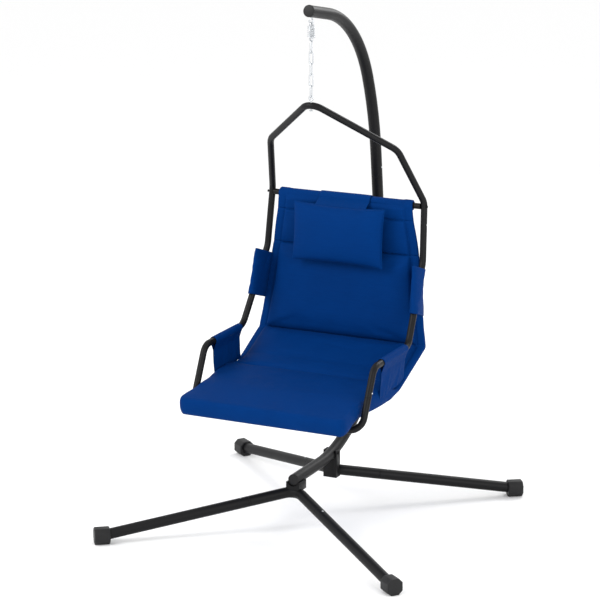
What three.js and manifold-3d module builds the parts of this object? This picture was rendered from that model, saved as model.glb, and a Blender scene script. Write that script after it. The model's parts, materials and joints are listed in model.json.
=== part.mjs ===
// A hanging hammock chair on a C-shaped steel stand.
// Units are millimetres, +Z is up and the chair faces -Y.
// The stand is built around the arm's hanging eye, and everything below the eye hangs from it, so the
// suspension and the seat keep their own sizes when the stand changes.
import * as THREE from 'three';
import { mergeVertices } from 'three/addons/utils/BufferGeometryUtils.js';
import Module from 'manifold-3d';

const wasm = await Module();
wasm.setup();

// ---------------------------------------------------------------- driving dimensions
const GAP = 0.4; // kept between neighbouring pieces

// The C-shaped arm: its centreline runs back from the lower end, up behind the seat and over to the tip.
const ARM_RADIUS = 21.5;
const ARM_WALL = 1.5;
const ARM_HEIGHT = 202.3; // the flat foot of the arm, above the floor
const ARM_FLAT = 217;
const ARM_LOWER_BEND = { radius: 561, turn: 96.8 };
const ARM_BACK = 466;
const ARM_SHOULDER_BEND = { radius: 1151, turn: 16.2 };
const ARM_CROWN_BEND = { radius: 479, turn: 56.1 };
const ARM_TIP = 161.5;
const ARM_EYE_INSET = 16.5; // from the tip's end back to the hanging eye
const ARM_JOINT_INSET = 15; // the arm's straight back is its middle tube, less this at each end
const ARM_SPIGOT = 70;

// The two V-shaped hubs and their four legs.
const LEG_RADIUS = 20;
const LEG_WALL = 1.6;
const HUB_BEND = 60;
const HUB_ARM = 180; // from a hub's corner to its leg joint
const LEG_SPIGOT = 60;
const FRONT_HUB = { behind: 20, below: 46.3, spreadX: 578, spreadY: -437 }; // from the arm's lower end
const REAR_HUB = { behind: 339, below: 59.3, spreadX: 585, spreadY: 402 };
const FOOT_WIDTH = 60;
const FOOT_LENGTH = 58;
const FOOT_CHAMFER = 15;
const FOOT_EDGE = 3;
const FOOT_INSERT = 14; // how far a leg runs past the middle of its foot

// The brackets that join the arm to the hubs.
const BRACKET_HALF_WIDTH = 27;
const SADDLE = { front: -12, back: 48, bottom: 161, top: 195, bolt: 37 };
const CRADLE = { ahead: 42, depth: 36, below: 21, above: 12, plate: 4 };
const BOLT_RADIUS = 4;
const BOLT_HEAD = 7;
const BOLT_HEAD_HEIGHT = 4.5;
const NUT_HEIGHT = 5;

// The suspension: eye bolt, spring with its two draw wires, and chain.
const EYE_RADIUS = 8;
const EYE_WIRE = 3;
const EYE_DROP = 2.8; // between the arm and the eye's ring
const DRAW_WIRE = 2;
const DRAW_HALF_WIDTH = 6;
const DRAW_HOOK = 12.5;
const COIL_RADIUS = 12.5;
const COIL_WIRE = 2;
const COIL_TURNS = 6;
const COIL_HEIGHT = 41;
const COIL_BELOW_EYE = 9; // from the eye's lowest wire to the coil's top turn
const LINK_WIRE = 2.5;
const LINK_LENGTH = 46;
const LINK_WIDTH = 14;
const LINK_COUNT = 5;
const LINK_PLAY = 0.5;

// The seat frame, placed from the hanging point H, the top of the hanger's eye. Depths are below H.
const FRAME_RADIUS = 12.5;
const FRAME_WALL = 1.2;
const FRAME_SIDES = 12;
const APEX = { y: -15, depth: 19, bend: 50 };
const SHOULDER = { x: 258, y: 190, depth: 211, bend: 80 };
const ELBOW = { x: 312, y: 317, depth: 425, bend: 55 };
const KNEE = { x: 320.5, y: 290, depth: 645, bend: 70 }; // where the upright turns forward
const ARMREST = { x: 340, front: -190, back: 114, depth: 922, frontBend: 50, backBend: 55 };
const SEAT_BAR = { y: -294.5, depth: 1133, bend: 50 };
const UPPER_JOINT = 62; // from the elbow down to the hanger's joint
const LOWER_JOINT = 115; // from the armrest's front corner down to the seat bar's joint
const FRAME_SPIGOT = 42;
const BACK_BAR = { y: 309, depth: 439, radius: 11, wall: 1.2 };

// Soft parts.
const SLEEVE_THICKNESS = 4;
const BACK_SLEEVE_HALF = 272;
const SEAT_SLEEVE_HALF = 262;
const SLING_TOP = { y: 307, depth: 458, half: 278 };
const SLING_WAIST = { y: 301, depth: 627, half: 301 };
const SLING_CREASE = { y: 262, depth: 962, half: 346 };
const SLING_HIP = { y: 80, depth: 1051, half: 336 };
const SLING_THIGH = { y: -200, half: 320 };
const SLING_FRONT = { y: -420, depth: 1088, half: 300, corner: 62 };
const PAD_PROUD = 20; // padding in front of the sling's sheet
const SHEET_BEHIND = 6;
const SEAT_THICKNESS = 54;
const LOOP = { top: 634, bottom: 811, thickness: 5, slope: 38 };
const PANEL = { front: -128, bottom: 1052, thickness: 5 };
const PILLOW = { width: 372, height: 222, thickness: 50, depth: 561, y: 233, lean: 5 };
const PILLOW_CORNER = 30;
const STRAP_HALF = 105;
const STRAP_THICKNESS = 3.5;

// ---------------------------------------------------------------- materials
const paint = (color, roughness, metalness) =>
  new THREE.MeshStandardMaterial({ color, roughness, metalness });
const powderCoat = () => paint(0x1f2022, 0.5, 0.6);
const zinc = () => paint(0xc9ccd0, 0.3, 0.9);
const blackPlastic = () => paint(0x18191b, 0.6, 0);
const blueCloth = () => paint(0x063a80, 0.75, 0);

// ---------------------------------------------------------------- solids
const X = new THREE.Vector3(1, 0, 0);
const Y = new THREE.Vector3(0, 1, 0);
const Z = new THREE.Vector3(0, 0, 1);
const at = (x, y, z) => new THREE.Vector3(x, y, z);
const radians = THREE.MathUtils.degToRad;
const mirrored = (point) => at(-point.x, point.y, point.z);

function solidOf(geometry) {
  const bare = geometry.clone();
  bare.deleteAttribute('normal');
  bare.deleteAttribute('uv');
  const merged = mergeVertices(bare, 1e-3);
  const triVerts = new Uint32Array(merged.index.array);
  const vertProperties = merged.attributes.position.array;
  const solid = new wasm.Manifold(new wasm.Mesh({ numProp: 3, vertProperties, triVerts }));
  if (solid.volume() > 0) return solid;
  triVerts.reverse();
  return new wasm.Manifold(new wasm.Mesh({ numProp: 3, vertProperties, triVerts }));
}

function geometryOf(solid) {
  const mesh = solid.getMesh();
  const geometry = new THREE.BufferGeometry();
  geometry.setAttribute('position', new THREE.BufferAttribute(mesh.vertProperties, 3));
  geometry.setIndex(new THREE.BufferAttribute(mesh.triVerts, 1));
  geometry.computeVertexNormals();
  return geometry;
}

function piece(group, name, solid, material) {
  const mesh = new THREE.Mesh(geometryOf(solid), material);
  mesh.name = name;
  group.add(mesh);
  return mesh;
}

const join = (...solids) => solids.reduce((whole, solid) => whole.add(solid));
const cut = (solid, ...tools) => tools.reduce((left, tool) => left.subtract(tool), solid);
const flipX = (solid) => solidOf(geometryOf(solid).scale(-1, 1, 1));

// A box between two corners.
function block(low, high) {
  const size = high.clone().sub(low);
  const middle = low.clone().add(high).multiplyScalar(0.5);
  return solidOf(new THREE.BoxGeometry(size.x, size.y, size.z).translate(middle.x, middle.y, middle.z));
}

// A turned solid: the profile's x is a radius and its y a distance along the direction from the origin.
function turned(profile, origin, direction, sides = 12) {
  const points = profile.map(([radius, along]) => new THREE.Vector2(radius, along));
  const turn = new THREE.Quaternion().setFromUnitVectors(Y, direction.clone().normalize());
  const geometry = new THREE.LatheGeometry(points, sides);
  return solidOf(geometry.applyQuaternion(turn).translate(origin.x, origin.y, origin.z));
}

const cylinder = (radius, from, direction, length, sides = 12) =>
  turned([[0, 0], [radius, 0], [radius, length], [0, length]], from, direction, sides);

// A side outline, given as [y, z] points, carried from x = low to x = high.
function sidePlate(outline, low, high, holes = []) {
  const shape = new THREE.Shape(outline.map(([y, z]) => new THREE.Vector2(y, z)));
  shape.holes = holes;
  const geometry = new THREE.ExtrudeGeometry(shape, { depth: high - low, bevelEnabled: false });
  const toSide = new THREE.Matrix4().makeBasis(Y, Z, X);
  return solidOf(geometry.applyMatrix4(toSide).translate(low, 0, 0));
}

const BEND_STEP = 10; // degrees between the stations round a bend
const TUBE_SIDES = 16;
const WIRE_SIDES = 8;
const SPIGOT_NECK = 5; // how far a spigot's wall runs back into its tube
const SLIP = 0.01; // between a spigot's corners and the flats of the bore round it
const WIRE_BEND_STEP = 30;
const COIL_STEP = 30;

// ---------------------------------------------------------------- bent centrelines
// A route is a chain of straight runs and circular bends. It carries a normal along with its heading, so that
// every tube swept along one stretch of it lines up with the tubes on its other stretches.
class Route {
  constructor(start, heading) {
    this.end = { point: start.clone(), tangent: heading.clone().normalize() };
    this.end.normal = this.end.tangent.clone().cross(Z).normalize();
    this.runs = [];
    this.length = 0;
  }

  add(length, turn, place) {
    this.runs.push({ from: this.length, length, turn, place });
    this.length += length;
    this.end = place(length);
    return this;
  }

  straight(length) {
    const { point, tangent, normal } = this.end;
    const place = (s) => ({ point: point.clone().addScaledVector(tangent, s), tangent, normal });
    return this.add(length, 0, place);
  }

  bend(radius, turn, axis) {
    const { point, tangent, normal } = this.end;
    const centre = point.clone().addScaledVector(axis.clone().cross(tangent), radius);
    return this.add(radius * turn, turn, (s) => ({
      point: point.clone().sub(centre).applyAxisAngle(axis, s / radius).add(centre),
      tangent: tangent.clone().applyAxisAngle(axis, s / radius),
      normal: normal.clone().applyAxisAngle(axis, s / radius),
    }));
  }

  // The route through a list of corners, each rounded by its own bend radius.
  static through(corners) {
    const route = new Route(corners[0].point, corners[1].point.clone().sub(corners[0].point));
    let used = 0;
    corners.slice(1).forEach((corner, i) => {
      const next = corners[i + 2];
      const reach = corner.point.distanceTo(corners[i].point) - used;
      if (!next) return route.straight(reach);
      const ahead = next.point.clone().sub(corner.point).normalize();
      const turn = route.end.tangent.angleTo(ahead);
      const axis = route.end.tangent.clone().cross(ahead).normalize();
      used = corner.bend * Math.tan(turn / 2);
      return route.straight(reach - used).bend(corner.bend, turn, axis);
    });
    return route;
  }

  place(s) {
    const run = this.runs.find(({ from, length }) => s <= from + length) ?? this.runs.at(-1);
    return run.place(s - run.from);
  }

  // Distances between two others, in their order: the run ends and even steps round each bend.
  stops(from, to, degrees) {
    const found = this.runs.flatMap((run) => {
      const steps = Math.max(1, Math.ceil(run.turn / radians(degrees)));
      return Array.from({ length: steps }, (_, i) => run.from + (run.length * (i + 1)) / steps);
    });
    const between = found.filter((s) => s > Math.min(from, to) + 1 && s < Math.max(from, to) - 1);
    return from < to ? between : between.reverse();
  }

  // The distance along the route at which a test of the place first comes true.
  find(test) {
    let s = 0;
    while (s < this.length && !test(this.place(s))) s += 0.5;
    return s;
  }
}

// A round solid carried along a route, like a turned one whose axis bends. Each corner of the profile is a
// [distance, radius] pair, and the surface between two corners follows the bends that lie between them.
function pipe(route, profile, sides = TUBE_SIDES, degrees = BEND_STEP) {
  const further = profile.slice(1).flatMap(([to, radius], i) =>
    [...route.stops(profile[i][0], to, degrees), to].map((s) => [s, radius]),
  );
  const positions = [profile[0], ...further].flatMap(([s, radius]) => {
    const { point, tangent, normal } = route.place(s);
    return Array.from({ length: sides }, (_, i) => {
      const out = normal.clone().applyAxisAngle(tangent, (2 * Math.PI * (i + 0.5)) / sides);
      return point.clone().addScaledVector(out, radius).toArray();
    }).flat();
  });
  const index = [];
  for (let ring = 0; ring < further.length; ring += 1) {
    for (let i = 0; i < sides; i += 1) {
      const [a, b] = [ring * sides + i, ring * sides + ((i + 1) % sides)];
      index.push(a, a + sides, b, b, a + sides, b + sides);
    }
  }
  const geometry = new THREE.BufferGeometry().setIndex(index);
  return solidOf(geometry.setAttribute('position', new THREE.Float32BufferAttribute(positions, 3)));
}

const rod = (route, from, to, radius, sides, degrees) =>
  pipe(route, [[from, 0], [from, radius], [to, radius], [to, 0]], sides, degrees);

// The widest round piece that turns freely between the flats of a bore.
const snugIn = (bore, sides = TUBE_SIDES) => bore * Math.cos(Math.PI / sides) - SLIP;

// A tube whose chosen ends carry a reduced spigot that slides into the next tube.
function tube(route, { from, to, radius, wall, sides, spigot = 0, before = false, after = false }) {
  const bore = radius - wall;
  const slim = snugIn(bore, sides);
  const start = [[from + SPIGOT_NECK, bore], [from + SPIGOT_NECK, slim - wall], [from - spigot, slim - wall],
    [from - spigot, slim], [from, slim], [from, radius]];
  const end = [[to, radius], [to, slim], [to + spigot, slim], [to + spigot, slim - wall],
    [to - SPIGOT_NECK, slim - wall], [to - SPIGOT_NECK, bore]];
  const profile = [
    ...(before ? start : [[from, bore], [from, radius]]),
    ...(after ? end : [[to, radius], [to, bore]]),
  ];
  return pipe(route, [...profile, profile[0]], sides);
}

// ---------------------------------------------------------------- fasteners
// A domed button or screw head on a shank that runs along the direction and ends under the head.
const headed = (tip, direction, length, radius, head, height) =>
  turned(
    [[0, 0], [radius, 0], [radius, length], [head, length], [head, length + height * 0.45],
      [head * 0.6, length + height], [0, length + height]],
    tip,
    direction,
    10,
  );

const hexNut = (origin, direction, height, across, bore) =>
  cut(
    turned([[0, 0], [across, 0], [across, height], [0, height]], origin, direction, 6),
    cylinder(bore, origin.clone().addScaledVector(direction, -1), direction, height + 2, 10),
  );

const BUTTON_RADIUS = 3.2;
const BUTTON_PROUD = 1.8;

// A spring button that stands through a joint's outer tube; `reach` is the outer tube's radius.
function snapButton(place, side, reach, wall) {
  const inner = reach - 3 * wall - 2;
  const tip = place.point.clone().addScaledVector(side, inner);
  const length = reach - inner + BUTTON_PROUD * 0.3;
  return {
    solid: turned(
      [[0, 0], [BUTTON_RADIUS, 0], [BUTTON_RADIUS, length], [BUTTON_RADIUS * 0.6, length + BUTTON_PROUD * 0.7],
        [0, length + BUTTON_PROUD * 0.7]],
      tip,
      side,
      10,
    ),
    hole: cylinder(BUTTON_RADIUS + GAP, tip, side, length + 6, 10),
  };
}

// ================================================================ stand
const stand = new THREE.Group();

const armRoute = new Route(at(0, 0, ARM_HEIGHT), Y)
  .straight(ARM_FLAT)
  .bend(ARM_LOWER_BEND.radius, radians(ARM_LOWER_BEND.turn), X)
  .straight(ARM_BACK)
  .bend(ARM_SHOULDER_BEND.radius, radians(ARM_SHOULDER_BEND.turn), X)
  .bend(ARM_CROWN_BEND.radius, radians(ARM_CROWN_BEND.turn), X)
  .straight(ARM_TIP);
const eyeOnArm = armRoute.place(armRoute.length - ARM_EYE_INSET);
stand.position.y = -eyeOnArm.point.y; // brings the hanging eye over the hanging axis

// The eye bolt and its nut, inside the tip.
const armUnder = eyeOnArm.point.z - ARM_RADIUS / Math.abs(eyeOnArm.tangent.y);
const eyeCentre = at(0, eyeOnArm.point.y, armUnder - EYE_DROP - EYE_RADIUS - EYE_WIRE);
const eyeWireZ = eyeCentre.z - EYE_RADIUS;

function eyeBolt(centre, up, shank) {
  const torus = new THREE.TorusGeometry(EYE_RADIUS, EYE_WIRE, 8, 16);
  const ring = torus.rotateX(Math.PI / 2).translate(centre.x, centre.y, centre.z);
  const top = centre.clone().addScaledVector(up, EYE_RADIUS);
  const collar = top.clone().addScaledVector(up, EYE_WIRE - 0.6);
  return join(solidOf(ring), cylinder(EYE_WIRE, top, up, shank), cylinder(EYE_WIRE + 2, collar, up, 2));
}

const armEye = eyeBolt(eyeCentre, Z, 30);
piece(stand, 'arm_eye_bolt', armEye, zinc());
const eyeHole = cylinder(EYE_WIRE + GAP, eyeCentre, Z, 26);
const nutSeat = armUnder + ARM_WALL + 3;
piece(stand, 'arm_eye_nut', hexNut(at(0, eyeCentre.y, nutSeat), Z, 5, 6.4, EYE_WIRE + GAP), zinc());

// The arm's three tubes.
const armBack = armRoute.runs[2];
const armJoints = [
  armBack.from + ARM_JOINT_INSET,
  armBack.from + armBack.length - ARM_SPIGOT - ARM_JOINT_INSET,
];
const armSpan = (from, to, after) =>
  tube(armRoute, { from, to, radius: ARM_RADIUS, wall: ARM_WALL, spigot: ARM_SPIGOT, after });
const armButtons = armJoints.map((s) => {
  const place = armRoute.place(s + ARM_SPIGOT / 2);
  return snapButton(place, X, ARM_RADIUS, ARM_WALL);
});
let armLower = cut(armSpan(0, armJoints[0] - GAP, true), armButtons[0].hole);
const armMiddle = cut(
  armSpan(armJoints[0], armJoints[1] - GAP, true),
  armButtons[0].hole,
  armButtons[1].hole,
);
const armUpper = cut(armSpan(armJoints[1], armRoute.length, false), armButtons[1].hole, eyeHole);
piece(stand, 'arm_middle_tube', armMiddle, powderCoat());
piece(stand, 'arm_upper_tube', armUpper, powderCoat());
piece(stand, 'arm_lower_snap_button', armButtons[0].solid, zinc());
piece(stand, 'arm_upper_snap_button', armButtons[1].solid, zinc());

// Round plugs close the arm's two ends.
const PLUG_RADIUS = ARM_RADIUS + 0.8;
function endPlug({ point, tangent }, outward) {
  const away = tangent.clone().multiplyScalar(outward);
  const bore = snugIn(ARM_RADIUS - ARM_WALL);
  const profile = [[0, -9], [bore - 1, -9], [bore, -7], [bore, GAP], [PLUG_RADIUS, GAP],
    [PLUG_RADIUS, 4], [PLUG_RADIUS - 2, 6], [0, 6]];
  return turned(profile, point, away, 24);
}
piece(stand, 'arm_bottom_plug', endPlug(armRoute.place(0), -1), blackPlastic());
piece(stand, 'arm_top_plug', endPlug(armRoute.place(armRoute.length), 1), blackPlastic());

// Hubs, legs and feet.
function baseV(hub, end) {
  const corner = at(0, hub.behind, ARM_HEIGHT - hub.below);
  const foot = (side) => at(side * hub.spreadX, hub.behind + hub.spreadY, FOOT_WIDTH / 2);
  const outward = (side) => foot(side).sub(corner).normalize();
  const tip = (side) => foot(side).addScaledVector(outward(side), FOOT_INSERT);
  const route = Route.through([{ point: tip(-1) }, { point: corner, bend: HUB_BEND }, { point: tip(1) }]);
  const { turn } = route.runs[1];
  const saved = HUB_BEND * (2 * Math.tan(turn / 2) - turn); // a rounded corner is shorter than a sharp one
  const reach = (route.length + saved) / 2 - HUB_ARM; // from a leg's tip to its joint
  const joints = [reach, route.length - reach];
  const buttonSide = (s) => {
    const { tangent } = route.place(s);
    return tangent.clone().cross(Z).normalize().cross(tangent);
  };
  const buttons = [joints[0] - LEG_SPIGOT / 2, joints[1] + LEG_SPIGOT / 2].map((s) =>
    snapButton(route.place(s), buttonSide(s), LEG_RADIUS, LEG_WALL),
  );
  const hubTube = tube(route, {
    from: joints[0], to: joints[1], radius: LEG_RADIUS, wall: LEG_WALL,
    spigot: LEG_SPIGOT, before: true, after: true,
  });
  piece(stand, `${end}_hub_tube`, cut(hubTube, buttons[0].hole, buttons[1].hole), powderCoat());
  [['left', 0, joints[0] - GAP], ['right', joints[1] + GAP, route.length]].forEach(([side, from, to], i) => {
    const leg = tube(route, { from, to, radius: LEG_RADIUS, wall: LEG_WALL });
    piece(stand, `${end}_${side}_leg`, cut(leg, buttons[i].hole), powderCoat());
    piece(stand, `${end}_${side}_leg_snap_button`, buttons[i].solid, zinc());
    const sign = i === 0 ? -1 : 1;
    piece(stand, `${end}_${side}_foot`, footCap(foot(sign), outward(sign)), blackPlastic());
  });
  return { route, middle: route.place(route.length / 2).point };
}

// A chamfered block, level on the floor, bored for the leg that slopes into it.
function footCap(centre, outward) {
  const half = FOOT_WIDTH / 2;
  const near = half - FOOT_CHAMFER;
  const octagon = [[-near, -half], [near, -half], [half, -near], [half, near], [near, half], [-near, half],
    [-half, near], [-half, -near]];
  const shape = new THREE.Shape(octagon.map(([u, v]) => new THREE.Vector2(u, v)));
  const block = new THREE.ExtrudeGeometry(shape, {
    depth: FOOT_LENGTH - 2 * FOOT_EDGE, bevelThickness: FOOT_EDGE, bevelSize: FOOT_EDGE,
    bevelOffset: -FOOT_EDGE, bevelSegments: 1,
  }).translate(0, 0, FOOT_EDGE - FOOT_LENGTH / 2);
  const level = at(outward.x, outward.y, 0).normalize();
  const pose = new THREE.Matrix4().makeBasis(Z.clone().cross(level).negate(), Z, level.clone().negate());
  const solid = solidOf(block.applyMatrix4(pose).translate(centre.x, centre.y, centre.z));
  const bore = cylinder(LEG_RADIUS + GAP, centre.clone().addScaledVector(outward, FOOT_INSERT + GAP),
    outward.clone().negate(), FOOT_LENGTH + 60, 16);
  return cut(solid, bore);
}

const frontV = baseV(FRONT_HUB, 'front');
const rearV = baseV(REAR_HUB, 'rear');

// Brackets: a saddle under the arm's end and a folded cradle under its first bend.
const bracketArmReach = armRoute.runs[1].from + 200;
const armClearance = rod(armRoute, 0, bracketArmReach, ARM_RADIUS + GAP);
const plugClearance = cylinder(PLUG_RADIUS + GAP, at(0, GAP, ARM_HEIGHT), Y.clone().negate(), 50, 24);
const hubClearance = ({ route }) => {
  const half = route.length / 2;
  return rod(route, half - HUB_ARM, half + HUB_ARM, LEG_RADIUS + GAP);
};
const armHeightAt = (y) => armRoute.place(armRoute.find(({ point }) => point.y >= y)).point.z;
const bracketBlank = (front, back, bottom, top) =>
  block(at(-BRACKET_HALF_WIDTH, front, bottom), at(BRACKET_HALF_WIDTH, back, top));

// A bolt up through the saddle and the arm's underside, with its nut inside the arm.
const saddleBlank = bracketBlank(SADDLE.front, SADDLE.back, SADDLE.bottom, SADDLE.top);
const saddleNutSeat = ARM_HEIGHT - Math.sqrt((ARM_RADIUS - ARM_WALL) ** 2 - BOLT_HEAD ** 2) + GAP;
const saddleTip = at(0, SADDLE.bolt, saddleNutSeat + NUT_HEIGHT + 2);
const saddleShank = saddleTip.z - SADDLE.bottom + GAP;
const down = Z.clone().negate();
const saddleBolt = headed(saddleTip, down, saddleShank, BOLT_RADIUS, BOLT_HEAD, BOLT_HEAD_HEIGHT);
const saddleHole = cylinder(BOLT_RADIUS + GAP, saddleTip, down, saddleShank + 20);
const saddleBracket = cut(saddleBlank, armClearance, plugClearance, hubClearance(frontV), saddleHole);
piece(stand, 'saddle_bracket', saddleBracket, powderCoat());
piece(stand, 'saddle_bolt', saddleBolt, powderCoat());
const saddleNut = hexNut(saddleTip.clone().setZ(saddleNutSeat), Z, NUT_HEIGHT, BOLT_HEAD, BOLT_RADIUS + GAP);
piece(stand, 'saddle_nut', saddleNut, zinc());

// A bolt across the cradle's two side plates and the arm between them.
const cradleFront = rearV.middle.y - CRADLE.ahead;
const cradleBack = cradleFront + CRADLE.depth;
const cradleBoltY = (cradleFront + cradleBack) / 2;
const cradleBoltZ = armHeightAt(cradleBoltY);
const cradleTop = cradleBoltZ + CRADLE.above;
const cradleFloor = rearV.middle.z - CRADLE.below;
const cradleInside = BRACKET_HALF_WIDTH - CRADLE.plate;
const cradlePocket = block(
  at(-cradleInside, cradleFront + CRADLE.plate, cradleFloor + CRADLE.plate),
  at(cradleInside, cradleBack + 10, cradleTop + 10),
);
const cradleBlank = cut(bracketBlank(cradleFront, cradleBack, cradleFloor, cradleTop), cradlePocket);
const boltFace = BRACKET_HALF_WIDTH + GAP;
const cradleTip = at(-boltFace - NUT_HEIGHT - 1, cradleBoltY, cradleBoltZ);
const cradleShank = boltFace - cradleTip.x;
const cradleBolt = headed(cradleTip, X, cradleShank, BOLT_RADIUS, BOLT_HEAD, BOLT_HEAD_HEIGHT);
const cradleHole = cylinder(BOLT_RADIUS + GAP, cradleTip, X, cradleShank + 20);
const cradleBracket = cut(cradleBlank, armClearance, hubClearance(rearV), cradleHole);
piece(stand, 'cradle_bracket', cradleBracket, powderCoat());
piece(stand, 'cradle_bolt', cradleBolt, powderCoat());
const cradleNutSeat = cradleTip.clone().setX(-boltFace - NUT_HEIGHT);
piece(stand, 'cradle_nut', hexNut(cradleNutSeat, X, NUT_HEIGHT, BOLT_HEAD, BOLT_RADIUS + GAP), powderCoat());

armLower = cut(armLower, saddleHole, cradleHole);
piece(stand, 'arm_lower_tube', armLower, powderCoat());

// ================================================================ suspension
const suspension = new THREE.Group();

// A U-shaped wire with hooked ends: `top` and `tail` are the heights of its arc and of its hooks.
function drawWire(arc, tail, across) {
  const side = (s, z, reach) => across.clone().multiplyScalar(s * reach).setZ(z);
  const route = Route.through([
    { point: side(-1, tail, DRAW_HOOK) },
    { point: side(-1, tail, DRAW_HALF_WIDTH), bend: DRAW_WIRE + 0.6 },
    { point: side(-1, arc, DRAW_HALF_WIDTH), bend: DRAW_HALF_WIDTH - 0.01 },
    { point: side(1, arc, DRAW_HALF_WIDTH), bend: DRAW_HALF_WIDTH - 0.01 },
    { point: side(1, tail, DRAW_HALF_WIDTH), bend: DRAW_WIRE + 0.6 },
    { point: side(1, tail, DRAW_HOOK) },
  ]);
  return rod(route, 0, route.length, DRAW_WIRE, WIRE_SIDES, WIRE_BEND_STEP);
}

// The coil's route, measured in turns: closed end turns and open turns between them.
class CoilRoute {
  constructor(bottom) {
    this.bottom = bottom;
    this.closedPitch = 2 * COIL_WIRE + GAP;
    this.openTurns = COIL_TURNS - 2;
    this.openPitch = (COIL_HEIGHT - 2 * this.closedPitch) / this.openTurns;
  }

  place(turns) {
    const open = THREE.MathUtils.clamp(turns - 1, 0, this.openTurns);
    const pitch = turns > 1 && turns < 1 + this.openTurns ? this.openPitch : this.closedPitch;
    const angle = 2 * Math.PI * turns;
    const normal = at(Math.cos(angle), Math.sin(angle), 0);
    const point = normal.clone().multiplyScalar(COIL_RADIUS);
    point.z = this.bottom + this.closedPitch * (turns - open) + this.openPitch * open;
    const tangent = at(-Math.sin(angle), Math.cos(angle), pitch / (2 * Math.PI * COIL_RADIUS)).normalize();
    return { point, tangent, normal };
  }

  stops(from, to, degrees) {
    const steps = Math.round(((to - from) * 360) / degrees);
    return Array.from({ length: steps - 1 }, (_, i) => from + ((to - from) * (i + 1)) / steps);
  }
}

const upperArc = eyeWireZ + EYE_WIRE + DRAW_WIRE + LINK_PLAY;
const coilTop = eyeWireZ - COIL_BELOW_EYE;
const coilBottom = coilTop - COIL_HEIGHT;
const hookDrop = COIL_WIRE + DRAW_WIRE + LINK_PLAY;
const lowerArc = coilBottom - hookDrop - 10.5;
piece(suspension, 'spring_upper_wire', drawWire(upperArc, coilBottom - hookDrop, Y), zinc());
piece(suspension, 'spring_lower_wire', drawWire(lowerArc, coilTop + hookDrop, X), zinc());
const coil = rod(new CoilRoute(coilBottom), 0, COIL_TURNS, COIL_WIRE, WIRE_SIDES, COIL_STEP);
piece(suspension, 'coil_spring', coil, zinc());

// A chain link: a ring whose upper and lower halves are drawn apart by the length of its straight legs.
function chainLink(crown, across) {
  const segments = 16;
  const torus = new THREE.TorusGeometry(LINK_WIDTH / 2, LINK_WIRE, 8, segments);
  torus.rotateZ(Math.PI / segments).rotateX(Math.PI / 2);
  const positions = torus.attributes.position;
  const half = (LINK_LENGTH - LINK_WIDTH) / 2;
  for (let i = 0; i < positions.count; i += 1) {
    positions.setZ(i, positions.getZ(i) + Math.sign(positions.getZ(i)) * half);
  }
  if (across === Y) torus.rotateZ(Math.PI / 2);
  return solidOf(torus.translate(0, 0, crown - LINK_LENGTH / 2));
}

let crown = lowerArc + DRAW_WIRE + LINK_WIRE + LINK_PLAY;
for (let i = 1; i <= LINK_COUNT; i += 1) {
  piece(suspension, `chain_link_${i}`, chainLink(crown, i % 2 === 1 ? Y : X), zinc());
  crown -= LINK_LENGTH - (i < LINK_COUNT ? 2 * LINK_WIRE + LINK_PLAY : 0);
}
const hangZ = crown + LINK_WIRE + EYE_WIRE + LINK_PLAY; // the hanging point H

// ================================================================ seat frame
const seat = new THREE.Group();
seat.position.z = hangZ;

const below = (x, y, depth) => at(x, y, -depth);
const apex = below(0, APEX.y, APEX.depth);
const shoulder = below(SHOULDER.x, SHOULDER.y, SHOULDER.depth);
const elbow = below(ELBOW.x, ELBOW.y, ELBOW.depth);
const knee = below(KNEE.x, KNEE.y, KNEE.depth);
const armrestBack = below(ARMREST.x, ARMREST.back, ARMREST.depth);
const armrestFront = below(ARMREST.x, ARMREST.front, ARMREST.depth);
const seatCorner = below(ARMREST.x, SEAT_BAR.y, SEAT_BAR.depth);
const towards = (from, to, distance) =>
  from.clone().addScaledVector(to.clone().sub(from).normalize(), distance);
const upperJoint = towards(elbow, knee, UPPER_JOINT);
const lowerJoint = towards(armrestFront, seatCorner, LOWER_JOINT);
const framePaths = { radius: FRAME_RADIUS, wall: FRAME_WALL, spigot: FRAME_SPIGOT, sides: FRAME_SIDES };

// Routes run on past a joint by the spigot's length, inside the tube that they slide into.
const hangerEnd = towards(upperJoint, knee, FRAME_SPIGOT);
const hangerRoute = Route.through([
  { point: mirrored(hangerEnd) },
  { point: mirrored(elbow), bend: ELBOW.bend },
  { point: mirrored(shoulder), bend: SHOULDER.bend },
  { point: apex, bend: APEX.bend },
  { point: shoulder, bend: SHOULDER.bend },
  { point: elbow, bend: ELBOW.bend },
  { point: hangerEnd },
]);
const sideRoute = Route.through([
  { point: upperJoint },
  { point: knee, bend: KNEE.bend },
  { point: armrestBack, bend: ARMREST.backBend },
  { point: armrestFront, bend: ARMREST.frontBend },
  { point: lowerJoint },
]);
const barEnd = towards(lowerJoint, armrestFront, FRAME_SPIGOT);
const barRoute = Route.through([
  { point: mirrored(barEnd) },
  { point: mirrored(seatCorner), bend: SEAT_BAR.bend },
  { point: seatCorner, bend: SEAT_BAR.bend },
  { point: barEnd },
]);

// Snap buttons stand on the outer side of the four frame joints.
const frameButton = (joint, end) =>
  snapButton({ point: towards(joint, end, FRAME_SPIGOT / 2) }, X, FRAME_RADIUS, FRAME_WALL);
const upperButton = frameButton(upperJoint, knee);
const lowerButton = frameButton(lowerJoint, armrestFront);

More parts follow.
